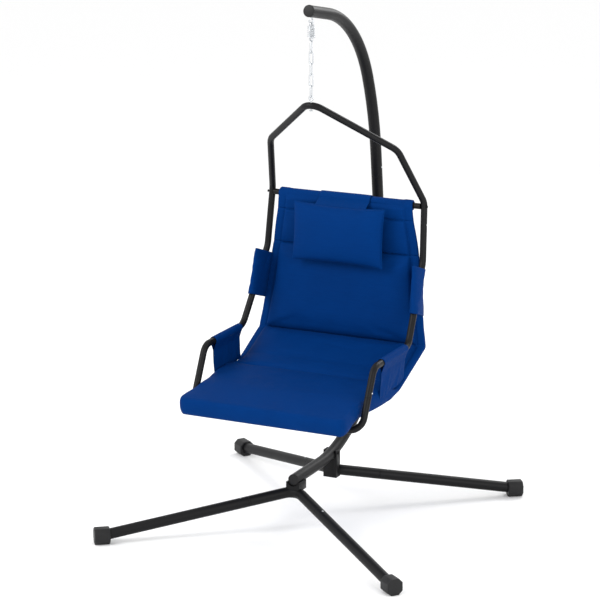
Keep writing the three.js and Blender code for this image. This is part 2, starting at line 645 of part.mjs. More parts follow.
// The hanger's eye bolt goes down through its apex into a nut below.
const hangerRing = new THREE.TorusGeometry(EYE_RADIUS, EYE_WIRE, 8, 16);
const hangerEye = join(
  solidOf(hangerRing.rotateX(Math.PI / 2).translate(0, 0, -EYE_RADIUS)),
  cylinder(EYE_WIRE, at(0, 0, -2 * EYE_RADIUS), Z.clone().negate(), 40),
);
const hangerHole = cylinder(EYE_WIRE + GAP, at(0, 0, -12), Z.clone().negate(), 60);
const apexUnder = hangerRoute.place(hangerRoute.length / 2).point.z - FRAME_RADIUS * 1.25;
piece(seat, 'hanger_eye_bolt', hangerEye, zinc());
piece(seat, 'hanger_eye_nut', hexNut(at(0, 0, apexUnder - 5), Z, 4.5, 6.4, EYE_WIRE + GAP), zinc());

// The bar across the back is coped against the hanger. A screw at each end bites into a bush welded
// inside the bar.
const hangerClearance = rod(hangerRoute, 0, hangerRoute.length, FRAME_RADIUS + GAP, TUBE_SIDES);
const backBarAt = (x) => below(x, BACK_BAR.y, BACK_BAR.depth);
const backBarRoute = Route.through([{ point: backBarAt(-ELBOW.x) }, { point: backBarAt(ELBOW.x) }]);
const SCREW_RADIUS = 3;
const screwTip = backBarAt(ELBOW.x - 48);
const screwLength = ELBOW.x + FRAME_RADIUS + 1.6 - screwTip.x;
const screw = headed(screwTip, X, screwLength, SCREW_RADIUS, 5.5, 3.4);
const screwHole = cylinder(SCREW_RADIUS + GAP, screwTip, X, 90);
const weldedBush = cylinder(BACK_BAR.radius - BACK_BAR.wall / 2, backBarAt(ELBOW.x - 44), X, 22, 16);
const bareBar = tube(backBarRoute, { from: 0, to: backBarRoute.length, ...BACK_BAR, sides: FRAME_SIDES });
const backBar = cut(
  join(bareBar, weldedBush, flipX(weldedBush)),
  screwHole,
  flipX(screwHole),
  hangerClearance,
);
piece(seat, 'back_bar', backBar, powderCoat());

const hanger = tube(hangerRoute, {
  from: FRAME_SPIGOT, to: hangerRoute.length - FRAME_SPIGOT, ...framePaths, before: true, after: true,
});
piece(
  seat,
  'hanger_tube',
  cut(hanger, hangerHole, screwHole, flipX(screwHole), upperButton.hole, flipX(upperButton.hole)),
  powderCoat(),
);
const sideTube = cut(
  tube(sideRoute, { ...framePaths, from: GAP, to: sideRoute.length - GAP }),
  upperButton.hole,
  lowerButton.hole,
);
const seatBar = tube(barRoute, {
  from: FRAME_SPIGOT, to: barRoute.length - FRAME_SPIGOT, ...framePaths, before: true, after: true,
});
piece(seat, 'seat_bar', cut(seatBar, lowerButton.hole, flipX(lowerButton.hole)), powderCoat());

// ---------------------------------------------------------------- soft parts
// Sleeves sewn round the two bars.
function barSleeve(y, depth, inner, half) {
  const route = Route.through([{ point: below(-half, y, depth) }, { point: below(half, y, depth) }]);
  return tube(route, { from: 0, to: route.length, radius: inner + SLEEVE_THICKNESS, wall: SLEEVE_THICKNESS });
}
const backSleeveInner = BACK_BAR.radius + 2;
const backSleeve = barSleeve(BACK_BAR.y, BACK_BAR.depth, backSleeveInner, BACK_SLEEVE_HALF);
piece(seat, 'back_sleeve', backSleeve, blueCloth());
const seatSleeve = barSleeve(SEAT_BAR.y, SEAT_BAR.depth, FRAME_RADIUS + GAP, SEAT_SLEEVE_HALF);
piece(seat, 'seat_sleeve', seatSleeve, blueCloth());

// The padded sling: its side outline, cut to its outline from the front and from above.
function slingSolid(grow) {
  const front = SLING_FRONT.y - grow;
  const seatTop = -(SLING_FRONT.depth - SEAT_THICKNESS / 2) + grow;
  const seatUnder = -(SLING_FRONT.depth + SEAT_THICKNESS / 2) - grow;
  const proud = PAD_PROUD + grow;
  const back = SHEET_BEHIND + grow;
  const rise = 22; // the seat is this much higher at the hip than at its front edge
  const outline = [
    [SLING_TOP.y - proud * 0.7, grow - SLING_TOP.depth],
    [SLING_WAIST.y - proud, -SLING_WAIST.depth],
    [SLING_CREASE.y - proud, 16 - SLING_CREASE.depth],
    [SLING_HIP.y - 35, seatTop + rise],
    [front + 35, seatTop],
    [front + 10, seatTop - 10],
    [front, seatTop - SEAT_THICKNESS / 2],
    [front + 12, seatUnder + 6],
    [front + 40, seatUnder + 2],
    [SLING_HIP.y - 20, seatUnder + rise - 2],
    [SLING_HIP.y + 4, -SLING_HIP.depth - 20 - grow],
    [SLING_CREASE.y + back + 2, -SLING_CREASE.depth - 8],
    [SLING_WAIST.y + back, -SLING_WAIST.depth],
    [SLING_TOP.y + back + 4, grow - SLING_TOP.depth],
  ];
  const widest = SLING_CREASE.half + 20;
  const body = sidePlate(outline, -widest, widest);
  const half = (place) => place.half + grow;
  const rightFront = [
    [half(SLING_TOP), 40 - SLING_TOP.depth],
    [half(SLING_WAIST), -SLING_WAIST.depth],
    [half(SLING_CREASE), -SLING_CREASE.depth],
    [half(SLING_CREASE), -SLING_FRONT.depth - 200],
  ];
  const rightPlan = [
    [half(SLING_CREASE), SLING_CREASE.y + 200],
    [half(SLING_CREASE), SLING_CREASE.y],
    [half(SLING_HIP), SLING_HIP.y],
    [half(SLING_HIP) - 2, PANEL.front],
    [half(SLING_THIGH), SLING_THIGH.y],
  ];
  const bevel = 5;
  for (let i = 0; i <= bevel; i += 1) {
    const angle = (Math.PI / 2) * (i / bevel);
    rightPlan.push([
      half(SLING_FRONT) - SLING_FRONT.corner * (1 - Math.cos(angle)),
      front + SLING_FRONT.corner * (1 - Math.sin(angle)),
    ]);
  }
  return body.intersect(symmetricPrism(rightFront, 'front')).intersect(symmetricPrism(rightPlan, 'plan'));
}

// A prism whose outline is the given right half and its mirror image, seen from the front or from above.
function symmetricPrism(rightHalf, view) {
  const leftHalf = rightHalf.map(([u, v]) => [-u, v]).reverse();
  const shape = new THREE.Shape([...rightHalf, ...leftHalf].map(([u, v]) => new THREE.Vector2(u, v)));
  const depth = 3000;
  const prism = new THREE.ExtrudeGeometry(shape, { depth, bevelEnabled: false }).translate(0, 0, -depth / 2);
  return solidOf(view === 'front' ? prism.rotateX(Math.PI / 2) : prism);
}

const slingClearance = slingSolid(GAP);
piece(seat, 'padded_sling', slingSolid(0), blueCloth());

// The space that a side tube takes, with room for cloth round it.
const sideClearance = rod(sideRoute, 0, sideRoute.length, FRAME_RADIUS + GAP, FRAME_SIDES);

// Loops tie the sling's edges to the uprights.
function sideLoop() {
  const s0 = sideRoute.find(({ point }) => point.z <= -LOOP.top);
  const s1 = sideRoute.find(({ point }) => point.z <= -LOOP.bottom);
  const top = sideRoute.place(s0).point;
  const bottom = sideRoute.place(s1).point;
  const collar = rod(sideRoute, s0, s1, FRAME_RADIUS + GAP + LOOP.thickness, FRAME_SIDES);
  const rear = SLING_WAIST.y + SHEET_BEHIND;
  const web = sidePlate(
    [[top.y, top.z], [rear, top.z - LOOP.slope], [rear - 17, bottom.z - LOOP.slope], [bottom.y, bottom.z]],
    -LOOP.thickness / 2,
    LOOP.thickness / 2,
  ).translate([(top.x + bottom.x) / 2 - 2, 0, 0]);
  return cut(join(collar, web), sideClearance, slingClearance);
}
const loop = sideLoop();

// Panels hang from the armrests down to the seat's edges.
function armrestPanel() {
  const s0 = sideRoute.find(({ point }) => point.y <= ARMREST.back - 14);
  const s1 = sideRoute.find(({ point }) => point.y <= PANEL.front);
  const sleeve = rod(sideRoute, s0, s1, FRAME_RADIUS + GAP + SLEEVE_THICKNESS, FRAME_SIDES);
  const top = -ARMREST.depth;
  const sheet = sidePlate(
    [
      [PANEL.front, top],
      [ARMREST.back - 14, top],
      [SLING_HIP.y, 4 - SLING_HIP.depth],
      [PANEL.front, -PANEL.bottom],
    ],
    ARMREST.x - PANEL.thickness / 2,
    ARMREST.x + PANEL.thickness / 2,
  );
  return cut(join(sleeve, sheet), sideClearance, slingClearance);
}
const panel = armrestPanel();

// The head pillow hangs in front of the back from a strap over the back bar.
function pillowSolid() {
  const bevel = PILLOW.thickness * 0.42;
  const halfWidth = PILLOW.width / 2;
  const halfHeight = PILLOW.height / 2;
  const inset = PILLOW_CORNER;
  const shape = new THREE.Shape([
    [-halfWidth, inset - halfHeight], [inset - halfWidth, -halfHeight], [halfWidth - inset, -halfHeight],
    [halfWidth, inset - halfHeight], [halfWidth, halfHeight - inset], [halfWidth - inset, halfHeight],
    [inset - halfWidth, halfHeight], [-halfWidth, halfHeight - inset],
  ].map(([u, v]) => new THREE.Vector2(u, v)));
  const depth = PILLOW.thickness - 2 * bevel;
  const cushion = new THREE.ExtrudeGeometry(shape, {
    depth, bevelThickness: bevel, bevelSize: bevel, bevelOffset: -bevel, bevelSegments: 3,
  }).translate(0, 0, -depth / 2);
  cushion.rotateX(Math.PI / 2 - radians(PILLOW.lean));
  return solidOf(cushion.translate(0, PILLOW.y, -PILLOW.depth));
}

function strapSolid(pillow) {
  const inner = backSleeveInner + SLEEVE_THICKNESS + GAP;
  const outer = inner + STRAP_THICKNESS;
  const steps = 9;
  const arc = (radius, i) => {
    const angle = radians(20 + (165 * i) / steps); // from behind the bar, over it and down its front
    return [BACK_BAR.y + radius * Math.cos(angle), radius * Math.sin(angle) - BACK_BAR.depth];
  };
  const over = Array.from({ length: steps + 1 }, (_, i) => arc(outer, i));
  const under = Array.from({ length: steps + 1 }, (_, i) => arc(inner, steps - i));
  const pillowTop = PILLOW.height / 2 - PILLOW.depth;
  const tab = [[PILLOW.y + 18, pillowTop - 6], [PILLOW.y + 24, pillowTop - 12]];
  return cut(sidePlate([...over, ...tab, ...under], -STRAP_HALF, STRAP_HALF), pillow);
}
const pillow = pillowSolid();
piece(seat, 'head_pillow', pillow, blueCloth());
const pillowClearance = pillow.translate([0, 0, GAP]).add(pillow.translate([0, GAP, 0]));
piece(seat, 'pillow_strap', strapSolid(pillowClearance), blueCloth());

// Left and right copies of what the frame has twice.
for (const [side, place] of [['right', (solid) => solid], ['left', flipX]]) {
  piece(seat, `${side}_side_tube`, place(sideTube), powderCoat());
  piece(seat, `${side}_upper_snap_button`, place(upperButton.solid), zinc());
  piece(seat, `${side}_lower_snap_button`, place(lowerButton.solid), zinc());
  piece(seat, `${side}_back_bar_screw`, place(screw), powderCoat());
  piece(seat, `${side}_back_loop`, place(loop), blueCloth());
  piece(seat, `${side}_armrest_panel`, place(panel), blueCloth());
}

// ================================================================ the whole chair
const chair = new THREE.Group();
chair.add(stand, suspension, seat);
chair.updateMatrixWorld(true);
const bounds = new THREE.Box3().setFromObject(chair, true);
chair.position.y = -(bounds.min.y + bounds.max.y) / 2; // the origin is the middle of the chair's footprint

export default chair;
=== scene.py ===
"""Builds the looks of a padded hammock chair on its C-shaped steel stand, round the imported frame.

Every shape is a surface worked out with numpy: a profile carried along a bent path, or a cloth grid given
by a formula. Lengths are in metres, +Z is up and the chair faces -Y. Seat and suspension sizes are given
from the hanging axis, the vertical line through the arm's eye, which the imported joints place.
"""

from __future__ import annotations

import json
import logging
import math
from dataclasses import dataclass, field
from enum import Enum
from typing import Sequence

import bmesh
import bpy
import numpy as np
from mathutils import Matrix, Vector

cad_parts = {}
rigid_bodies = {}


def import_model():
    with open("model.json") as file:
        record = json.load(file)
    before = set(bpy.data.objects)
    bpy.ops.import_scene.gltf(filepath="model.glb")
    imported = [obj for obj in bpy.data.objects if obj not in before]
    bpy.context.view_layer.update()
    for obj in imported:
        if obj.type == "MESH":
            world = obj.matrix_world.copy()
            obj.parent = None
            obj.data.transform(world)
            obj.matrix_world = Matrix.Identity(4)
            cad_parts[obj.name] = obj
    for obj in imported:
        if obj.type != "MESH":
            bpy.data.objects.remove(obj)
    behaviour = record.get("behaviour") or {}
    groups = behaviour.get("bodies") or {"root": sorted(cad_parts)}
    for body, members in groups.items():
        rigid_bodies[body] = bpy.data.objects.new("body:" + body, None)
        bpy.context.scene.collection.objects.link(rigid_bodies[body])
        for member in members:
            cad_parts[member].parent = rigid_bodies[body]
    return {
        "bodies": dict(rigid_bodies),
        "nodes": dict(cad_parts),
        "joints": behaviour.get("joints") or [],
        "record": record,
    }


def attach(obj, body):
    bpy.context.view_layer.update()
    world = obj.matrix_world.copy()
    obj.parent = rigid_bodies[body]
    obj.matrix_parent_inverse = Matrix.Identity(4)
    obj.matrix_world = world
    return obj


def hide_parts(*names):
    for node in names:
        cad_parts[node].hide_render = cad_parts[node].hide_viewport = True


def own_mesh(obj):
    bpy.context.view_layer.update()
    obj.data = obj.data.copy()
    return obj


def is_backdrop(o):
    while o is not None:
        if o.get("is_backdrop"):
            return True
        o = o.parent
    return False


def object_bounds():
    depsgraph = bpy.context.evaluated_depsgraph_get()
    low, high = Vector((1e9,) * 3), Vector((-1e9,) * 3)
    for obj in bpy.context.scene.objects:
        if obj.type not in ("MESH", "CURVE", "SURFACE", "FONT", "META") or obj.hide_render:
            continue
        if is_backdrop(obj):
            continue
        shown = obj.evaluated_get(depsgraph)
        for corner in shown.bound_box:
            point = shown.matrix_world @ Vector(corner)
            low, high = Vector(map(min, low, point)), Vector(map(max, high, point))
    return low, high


LOG = logging.getLogger("hammock_chair")
X_AXIS = np.array([1.0, 0.0, 0.0])
Y_AXIS = np.array([0.0, 1.0, 0.0])
Z_AXIS = np.array([0.0, 0.0, 1.0])


class Slot(Enum):
    """The record's material slots."""

    POWDER_COAT = "black_powder_coat"
    ZINC = "zinc"
    PLASTIC = "black_plastic"
    CLOTH = "blue_cloth"


# ---------------------------------------------------------------- numbers and curves


def unit(vectors: np.ndarray) -> np.ndarray:
    """Returns the vectors, one or many, at length one."""
    return vectors / np.linalg.norm(vectors, axis=-1, keepdims=True)


def ease(value: np.ndarray | float, low: float, high: float) -> np.ndarray:
    """A smooth step: 0 below low, 1 above high, and 3t squared less 2t cubed between them."""
    share = np.clip((np.asarray(value) - low) / (high - low), 0.0, 1.0)
    return share * share * (3.0 - 2.0 * share)


def shoulder(depth: np.ndarray, radius: float | np.ndarray) -> np.ndarray:
    """The height of a padded edge, as a share of the full height, at a depth in from its seam.

    Formula: a quarter of a circle, the root of 1 - (1 - depth / radius) squared, and 1 past the radius.
    """
    share = np.clip(depth / radius, 0.0, 1.0)
    return np.sqrt(1.0 - (1.0 - share) ** 2)


def smoothed(values: np.ndarray, spacing: float, reach: float) -> np.ndarray:
    """Values at even spacing, averaged with a bell curve whose standard width is reach."""
    half = max(1, int(round(3.0 * reach / spacing)))
    offsets = np.arange(-half, half + 1) * spacing
    weights = np.exp(-0.5 * (offsets / reach) ** 2)
    padded = np.pad(values, half, mode="edge")
    return np.convolve(padded, weights / weights.sum(), mode="valid")


def ripples(along: np.ndarray, across: np.ndarray, seed: int, count: int = 7) -> np.ndarray:
    """Soft unevenness between -1 and 1: a sum of slanted sine waves with fixed, seeded directions.

    Args:
        along: one coordinate of each point, in wavelengths of the longest wave.
        across: the other coordinate, in the same unit.
        seed: picks the directions and phases.
        count: how many waves are added.

    Returns:
        An array of the points' shape.
    """
    picker = np.random.default_rng(seed)
    total = np.zeros(np.broadcast(along, across).shape)
    for wave in range(count):
        angle, phase = picker.uniform(0.0, math.tau, 2)
        pitch = math.tau * (1.0 + 0.55 * wave)
        slant = along * math.cos(angle) + across * math.sin(angle)
        total = total + np.sin(pitch * slant + phase) / (1 + 0.6 * wave)
    return total / 2.6


@dataclass
class Run:
    """One straight or circular stretch of a path. A straight run has a radius of 0."""

    start: float
    length: float
    origin: np.ndarray
    heading: np.ndarray
    radius: float = 0.0
    inward: np.ndarray = field(default_factory=lambda: np.zeros(3))

    def place(self, along: np.ndarray) -> tuple[np.ndarray, np.ndarray]:
        """Points and headings at distances from the run's start.

        Formula: origin + heading * s on a straight run; on a bend with angle a = s / radius the point is
        centre - inward * radius * cos a + heading * radius * sin a.
        """
        if self.radius == 0.0:
            points = self.origin + along[:, None] * self.heading
            return points, np.broadcast_to(self.heading, points.shape)
        angle = (along / self.radius)[:, None]
        centre = self.origin + self.inward * self.radius
        points = centre + self.radius * (self.heading * np.sin(angle) - self.inward * np.cos(angle))
        return points, self.heading * np.cos(angle) + self.inward * np.sin(angle)


class BentPath:
    """A chain of straight runs and circular bends, as a bent tube's centreline is."""

    def __init__(self, origin: Sequence[float], heading: Sequence[float]) -> None:
        """Starts the path at a point, facing along a direction."""
        self.runs: list[Run] = []
        self.length = 0.0
        self.end = np.asarray(origin, float)
        self.heading = unit(np.asarray(heading, float))

    def _add(self, length: float, radius: float = 0.0, inward: np.ndarray | None = None) -> BentPath:
        """Adds one run and moves the path's end to its far side."""
        side = np.zeros(3) if inward is None else inward
        run = Run(self.length, length, self.end, self.heading, radius, side)
        points, headings = run.place(np.array([length]))
        self.runs.append(run)
        self.end, self.heading = points[0], headings[0]
        self.length += length
        return self

    def straight(self, length: float) -> BentPath:
        """Adds a straight run of that length."""
        return self._add(length)

    def bend(self, radius: float, turn: float, axis: np.ndarray) -> BentPath:
        """Adds a bend of that radius that turns the path about an axis, by an angle in degrees."""
        return self._add(radius * math.radians(turn), radius, np.cross(axis, self.heading))

    @classmethod
    def through(cls, corners: Sequence[Sequence[float]], radii: Sequence[float]) -> BentPath:
        """A path through corners, each inner corner rounded by its own bend.

        Args:
            corners: the sharp corners, in order, with the two ends.
            radii: the bend radius at each inner corner.

        Returns:
            The path.
        """
        points = np.asarray(corners, float)
        path = cls(points[0], points[1] - points[0])
        used = 0.0
        for index, radius in enumerate(radii):
            here, after = points[index + 1], points[index + 2]
            ahead = unit(after - here)
            turn = math.degrees(math.acos(float(np.clip(path.heading @ ahead, -1.0, 1.0))))
            axis = unit(np.cross(path.heading, ahead))
            reach = float(np.linalg.norm(here - points[index])) - used
            used = radius * math.tan(math.radians(turn) / 2.0)
            path.straight(reach - used).bend(radius, turn, axis)
        return path.straight(float(np.linalg.norm(points[-1] - points[-2])) - used)

    def place(self, along: np.ndarray) -> tuple[np.ndarray, np.ndarray]:
        """Points and headings at distances along the path."""
        points = np.zeros((len(along), 3))
        headings = np.zeros((len(along), 3))
        starts = np.array([run.start for run in self.runs])
        owner = np.clip(np.searchsorted(starts, along, side="right") - 1, 0, len(self.runs) - 1)
        for index, run in enumerate(self.runs):
            mine = owner == index
            points[mine], headings[mine] = run.place(along[mine] - run.start)
        return points, headings

    def stations(self, low: float, high: float, step: float = 3.0) -> np.ndarray:
        """Distances from low to high: run ends, even steps in degrees round bends, and 60 mm on straights."""
        found = [np.array([low, high])]
        for run in self.runs:
            turn = math.degrees(run.length / run.radius) / step if run.radius else run.length / 0.06
            found.append(run.start + np.linspace(0.0, run.length, max(2, int(math.ceil(turn)) + 1)))
        every = np.unique(np.round(np.concatenate(found), 6))
        inside = every[(every > low + 1e-4) & (every < high - 1e-4)]
        return np.concatenate([[low], inside, [high]])


# ---------------------------------------------------------------- surfaces


@dataclass
class Sheet:
    """A surface as a grid of points, ready to become a mesh.

    ring closes each row on itself, loop closes the rows on each other, and poles fills the first and last
    rows with fans. chart holds a place on the flat cloth for each corner, one more along each closed way.
    weld joins the points that lie on each other, as along the hems of a cloth with two faces.
    """

    grid: np.ndarray
    ring: bool = True
    loop: bool = False
    poles: bool = False
    chart: np.ndarray | None = None
    weld: bool = False

    def faces(self) -> tuple[np.ndarray, np.ndarray]:
        """Returns the four-sided faces and, for each of their corners, the corner's chart index."""
        rows, columns = self.grid.shape[:2]
        down = np.arange(rows if self.loop else rows - 1)
        over = np.arange(columns if self.ring else columns - 1)
        i, j = np.meshgrid(down, over, indexing="ij")
        corners = [(i, j), (i, j + 1), (i + 1, j + 1), (i + 1, j)]
        wide = columns + 1 if self.ring else columns
        quads = np.stack([(a % rows) * columns + b % columns for a, b in corners], axis=-1)
        charted = np.stack([a * wide + b for a, b in corners], axis=-1)
        return quads.reshape(-1, 4), charted.reshape(-1, 4)


def volume_of(points: np.ndarray, quads: np.ndarray) -> float:
    """Six times the volume inside the faces: the sum of a . (b x c) over their triangles."""
    a, b, c, d = (points[quads[:, k]] for k in range(4))
    return float((a * (np.cross(b, c) + np.cross(c, d))).sum())


def make_piece(name: str, sheets: Sequence[Sheet]) -> bpy.types.Object:
    """Makes one object of one or more surfaces, with its faces pointing out.

    Args:
        name: the object's name.
        sheets: the surfaces, each closed.

    Returns:
        The object, linked to the scene, at the origin.
    """
    points: list[np.ndarray] = []
    faces: list[list[int]] = []
    charts: list[np.ndarray] = []
    base = 0
    for part in sheets:
        rows, columns = part.grid.shape[:2]
        verts = part.grid.reshape(-1, 3)
        quads, charted = part.faces()
        chart = part.chart.reshape(-1, 2) if part.chart is not None else None
        if part.poles:
            centres = np.stack([part.grid[0].mean(axis=0), part.grid[-1].mean(axis=0)])
            verts = np.concatenate([verts, centres])
            top, tail = rows * columns, rows * columns + 1
            near = np.arange(columns)
            after = (near + 1) % columns
            last = (rows - 1) * columns
            fans = [np.stack([np.full(columns, top), after, near], axis=1),
                    np.stack([np.full(columns, tail), last + near, last + after], axis=1)]
        flip = volume_of(verts, quads) < 0.0
        order = slice(None, None, -1) if flip else slice(None)
        faces += (quads[:, order] + base).tolist()
        corner_chart = [np.zeros((quads.size, 2)) if chart is None else chart[charted[:, order].ravel()]]
        if part.poles:
            for fan in fans:
                faces += (fan[:, order] + base).tolist()
                corner_chart.append(np.zeros((fan.size, 2)))
        points.append(verts)
        charts.append(np.concatenate(corner_chart))
        base += len(verts)
    mesh = bpy.data.meshes.new(name)
    mesh.from_pydata(np.concatenate(points).tolist(), [], faces)
    mesh.polygons.foreach_set("use_smooth", np.ones(len(mesh.polygons), bool))
    layer = mesh.uv_layers.new(name="cloth")
    layer.data.foreach_set("uv", np.concatenate(charts).astype(np.float32).ravel())
    if any(part.weld for part in sheets):
        shape = bmesh.new()
        shape.from_mesh(mesh)
        bmesh.ops.remove_doubles(shape, verts=shape.verts, dist=2e-6)
        shape.to_mesh(mesh)
        shape.free()
    mesh.update()
    piece = bpy.data.objects.new(name, mesh)
    bpy.context.scene.collection.objects.link(piece)
    return piece


def paired(front: np.ndarray, back: np.ndarray, chart: np.ndarray) -> Sheet:
    """Two faces of one cloth, sewn together where their outer rows and columns meet.

    Formula: the back is charted as if unfolded about the last column, 2 * last - across, so that it shares
    no place with the front.
    """
    grid = np.concatenate([front, back[:, -2:0:-1]], axis=1)
    unfolded = chart.copy()
    unfolded[..., 0] = 2.0 * chart[:, -1:, 0] - chart[..., 0]
    return Sheet(grid, chart=np.concatenate([chart, unfolded[:, -2::-1]], axis=1), weld=True)


def places_on_chart(piece: bpy.types.Object) -> np.ndarray:
    """Each point's place (across, along) on the piece's cloth chart."""
    loops = piece.data.loops
    index = np.zeros(len(loops), np.int32)
    chart = np.zeros(len(loops) * 2, np.float32)
    loops.foreach_get("vertex_index", index)
    piece.data.uv_layers["cloth"].data.foreach_get("uv", chart)
    places = np.zeros((len(piece.data.vertices), 2))
    places[index] = chart.reshape(-1, 2)
    return places


def normals_of(grid: np.ndarray) -> np.ndarray:
    """Unit normals of an open grid: the cross product of its two directions."""
    return unit(np.cross(np.gradient(grid, axis=0), np.gradient(grid, axis=1)) + 1e-12)


def thick_cloth(middle: np.ndarray, thickness: float, lift: np.ndarray | float = 0.0) -> Sheet:
    """A cloth of even thickness round its middle surface, thinned to nothing at its four hems.

    Args:
        middle: the middle surface's points.
        thickness: the cloth's thickness.
        lift: how far the middle surface is moved along its normals, such as by wrinkles.

    Returns:
        The closed cloth, charted by its lengths along and across.
    """
    out = normals_of(middle)
    middle = middle + out * (np.asarray(lift)[..., None] if np.ndim(lift) else lift)
    rows, columns = middle.shape[:2]
    share = np.minimum.outer(np.minimum(np.arange(rows), np.arange(rows)[::-1]),
                             np.minimum(np.arange(columns), np.arange(columns)[::-1]))
    half = (thickness / 2 * shoulder(share.astype(float), 2.0))[..., None]
    step = np.linalg.norm(np.diff(middle, axis=1), axis=2).mean(axis=0)
    rise = np.linalg.norm(np.diff(middle, axis=0), axis=2).mean(axis=1)
    across = np.concatenate([[0.0], np.cumsum(step)])
    along = np.concatenate([[0.0], np.cumsum(rise)])
    chart = np.stack(np.meshgrid(across, along), axis=-1)
    return paired(middle + out * half, middle - out * half, chart)


def carried_rings(path: BentPath, along: np.ndarray, radii: np.ndarray, upright: np.ndarray,
                  sides: int) -> np.ndarray:
    """Rings of a round section carried along a path.

    Formula: point = path(s) + r (normal cos a + binormal sin a), where the normal is upright with its part
    along the heading taken out, and the binormal is heading x normal.
    """
    points, headings = path.place(along)
    normals = unit(upright - (headings @ upright)[:, None] * headings)
    binormals = np.cross(headings, normals)
    angle = math.tau * np.arange(sides) / sides
    out = np.cos(angle)[None, :, None] * normals[:, None] + np.sin(angle)[None, :, None] * binormals[:, None]
    return points[:, None] + radii[:, None, None] * out


@dataclass
class Tube:
    """A bent tube between two distances along a path, open at its ends, with its wall rounded over there."""

    path: BentPath
    low: float
    high: float
    radius: float
    wall: float
    upright: np.ndarray
    sides: int = 40
    lip: float = 0.0006

    def surface(self) -> Sheet:
        """Outer rings from low to high, then inner rings back, closed on each other."""
        inner = self.path.stations(self.low + 2 * self.lip, self.high - 2 * self.lip)
        starts = np.array([self.low, self.low + 0.3 * self.lip, self.low + self.lip])
        ends = (self.low + self.high) - starts[::-1]
        along = np.concatenate([starts, inner, ends])
        edge = self.radius - np.array([self.lip, 0.3 * self.lip, 0.0])
        outer_radii = np.concatenate([edge, np.full(len(inner), self.radius), edge[::-1]])
        back = np.concatenate([[self.high], inner[::-1], [self.low]])
        s = np.concatenate([along, back])
        radii = np.concatenate([outer_radii, np.full(len(back), self.radius - self.wall)])
        grid = carried_rings(self.path, s, radii, self.upright, self.sides)
        return Sheet(grid, loop=True)


def rod_surface(path: BentPath, radius: float, upright: np.ndarray, sides: int = 16,
                step: float = 8.0) -> Sheet:
    """A solid wire along the whole of a path, with rounded ends."""
    middle = path.stations(radius, path.length - radius, step)
    turn = np.radians([15.0, 40.0, 65.0])
    start = radius - radius * np.cos(turn)
    along = np.concatenate([start, middle, path.length - start[::-1]])
    radii = np.concatenate([radius * np.sin(turn), np.full(len(middle), radius), radius * np.sin(turn)[::-1]])
    return Sheet(carried_rings(path, along, radii, upright, sides), poles=True)


def closed_rod(path: BentPath, radius: float, upright: np.ndarray, sides: int = 16,
               step: float = 8.0) -> Sheet:
    """A wire round a path that comes back to its start."""
    along = path.stations(0.0, path.length, step)[:-1]
    return Sheet(carried_rings(path, along, np.full(len(along), radius), upright, sides), loop=True)


def turned_surface(profile: Sequence[tuple[float, float]], origin: np.ndarray, axis: np.ndarray,
                   sides: int = 32) -> Sheet:
    """A turned solid: its profile's (radius, height) corners run round an axis from an origin."""
    corners = np.asarray(profile, float)
    side = unit(np.cross(axis, X_AXIS if abs(axis[0]) < 0.9 else Y_AXIS))
    other = np.cross(axis, side)
    angle = math.tau * np.arange(sides) / sides
    out = np.cos(angle)[:, None] * side + np.sin(angle)[:, None] * other
    grid = origin + corners[:, 1][:, None, None] * axis + corners[:, 0][:, None, None] * out[None]
    return Sheet(grid, poles=True)


def circle_path(centre: np.ndarray, radius: float, axis: np.ndarray, start: np.ndarray) -> BentPath:
    """A full circle about a centre, which begins in the start direction."""
    return BentPath(centre + radius * start, np.cross(axis, start)).bend(radius, 360.0, axis)


# ---------------------------------------------------------------- finishes


class NodeSketch:
    """Short ways to add and join shader nodes in one tree."""

    def __init__(self, tree: bpy.types.NodeTree) -> None:
        """Keeps the tree."""
        self.tree = tree

    def add(self, kind: str, **values: object) -> bpy.types.Node:
        """Adds a node, sets its own properties, and sets the inputs whose names start with in_."""
        node = self.tree.nodes.new(kind)
        for name, value in values.items():
            if name.startswith("in_"):
                node.inputs[name[3:].replace("_", " ").title()].default_value = value
            else:
                setattr(node, name, value)
        return node

    def join(self, out: bpy.types.NodeSocket, into: bpy.types.NodeSocket) -> None:
        """Joins an output to an input."""
        self.tree.links.new(out, into)

    def math(self, operation: str, *inputs: bpy.types.NodeSocket | float) -> bpy.types.NodeSocket:
        """Adds a Math node on sockets or numbers and returns its output."""
        node = self.tree.nodes.new("ShaderNodeMath")
        node.operation = operation
        for socket, value in zip(node.inputs, inputs):
            if isinstance(value, bpy.types.NodeSocket):
                self.join(value, socket)
            else:
                socket.default_value = value
        return node.outputs[0]

    def mix(self, share: bpy.types.NodeSocket, low: Sequence[float],
            high: Sequence[float]) -> bpy.types.NodeSocket:
        """Mixes two colours by a share and returns the colour."""
        node = self.tree.nodes.new("ShaderNodeMix")
        node.data_type = "RGBA"
        self.join(share, node.inputs[0])
        node.inputs[6].default_value = (*low, 1.0)
        node.inputs[7].default_value = (*high, 1.0)
        return node.outputs[2]


def new_group(name: str, inputs: dict[str, tuple[str, float]], outputs: dict[str, str]) -> bpy.types.NodeTree:
    """Makes a shader node group with named sockets.

    Args:
        name: the group's name.
        inputs: each input's socket type and default.
        outputs: each output's socket type.

    Returns:
        The group's tree, with its input and output nodes in place.
    """
    tree = bpy.data.node_groups.new(name, "ShaderNodeTree")
    for label, (kind, value) in inputs.items():
        socket = tree.interface.new_socket(name=label, in_out="INPUT", socket_type=kind)
        if kind == "NodeSocketFloat":
            socket.default_value = value
    for label, kind in outputs.items():
        tree.interface.new_socket(name=label, in_out="OUTPUT", socket_type=kind)
    tree.nodes.new("NodeGroupInput").name = "given"
    tree.nodes.new("NodeGroupOutput").name = "found"
    return tree


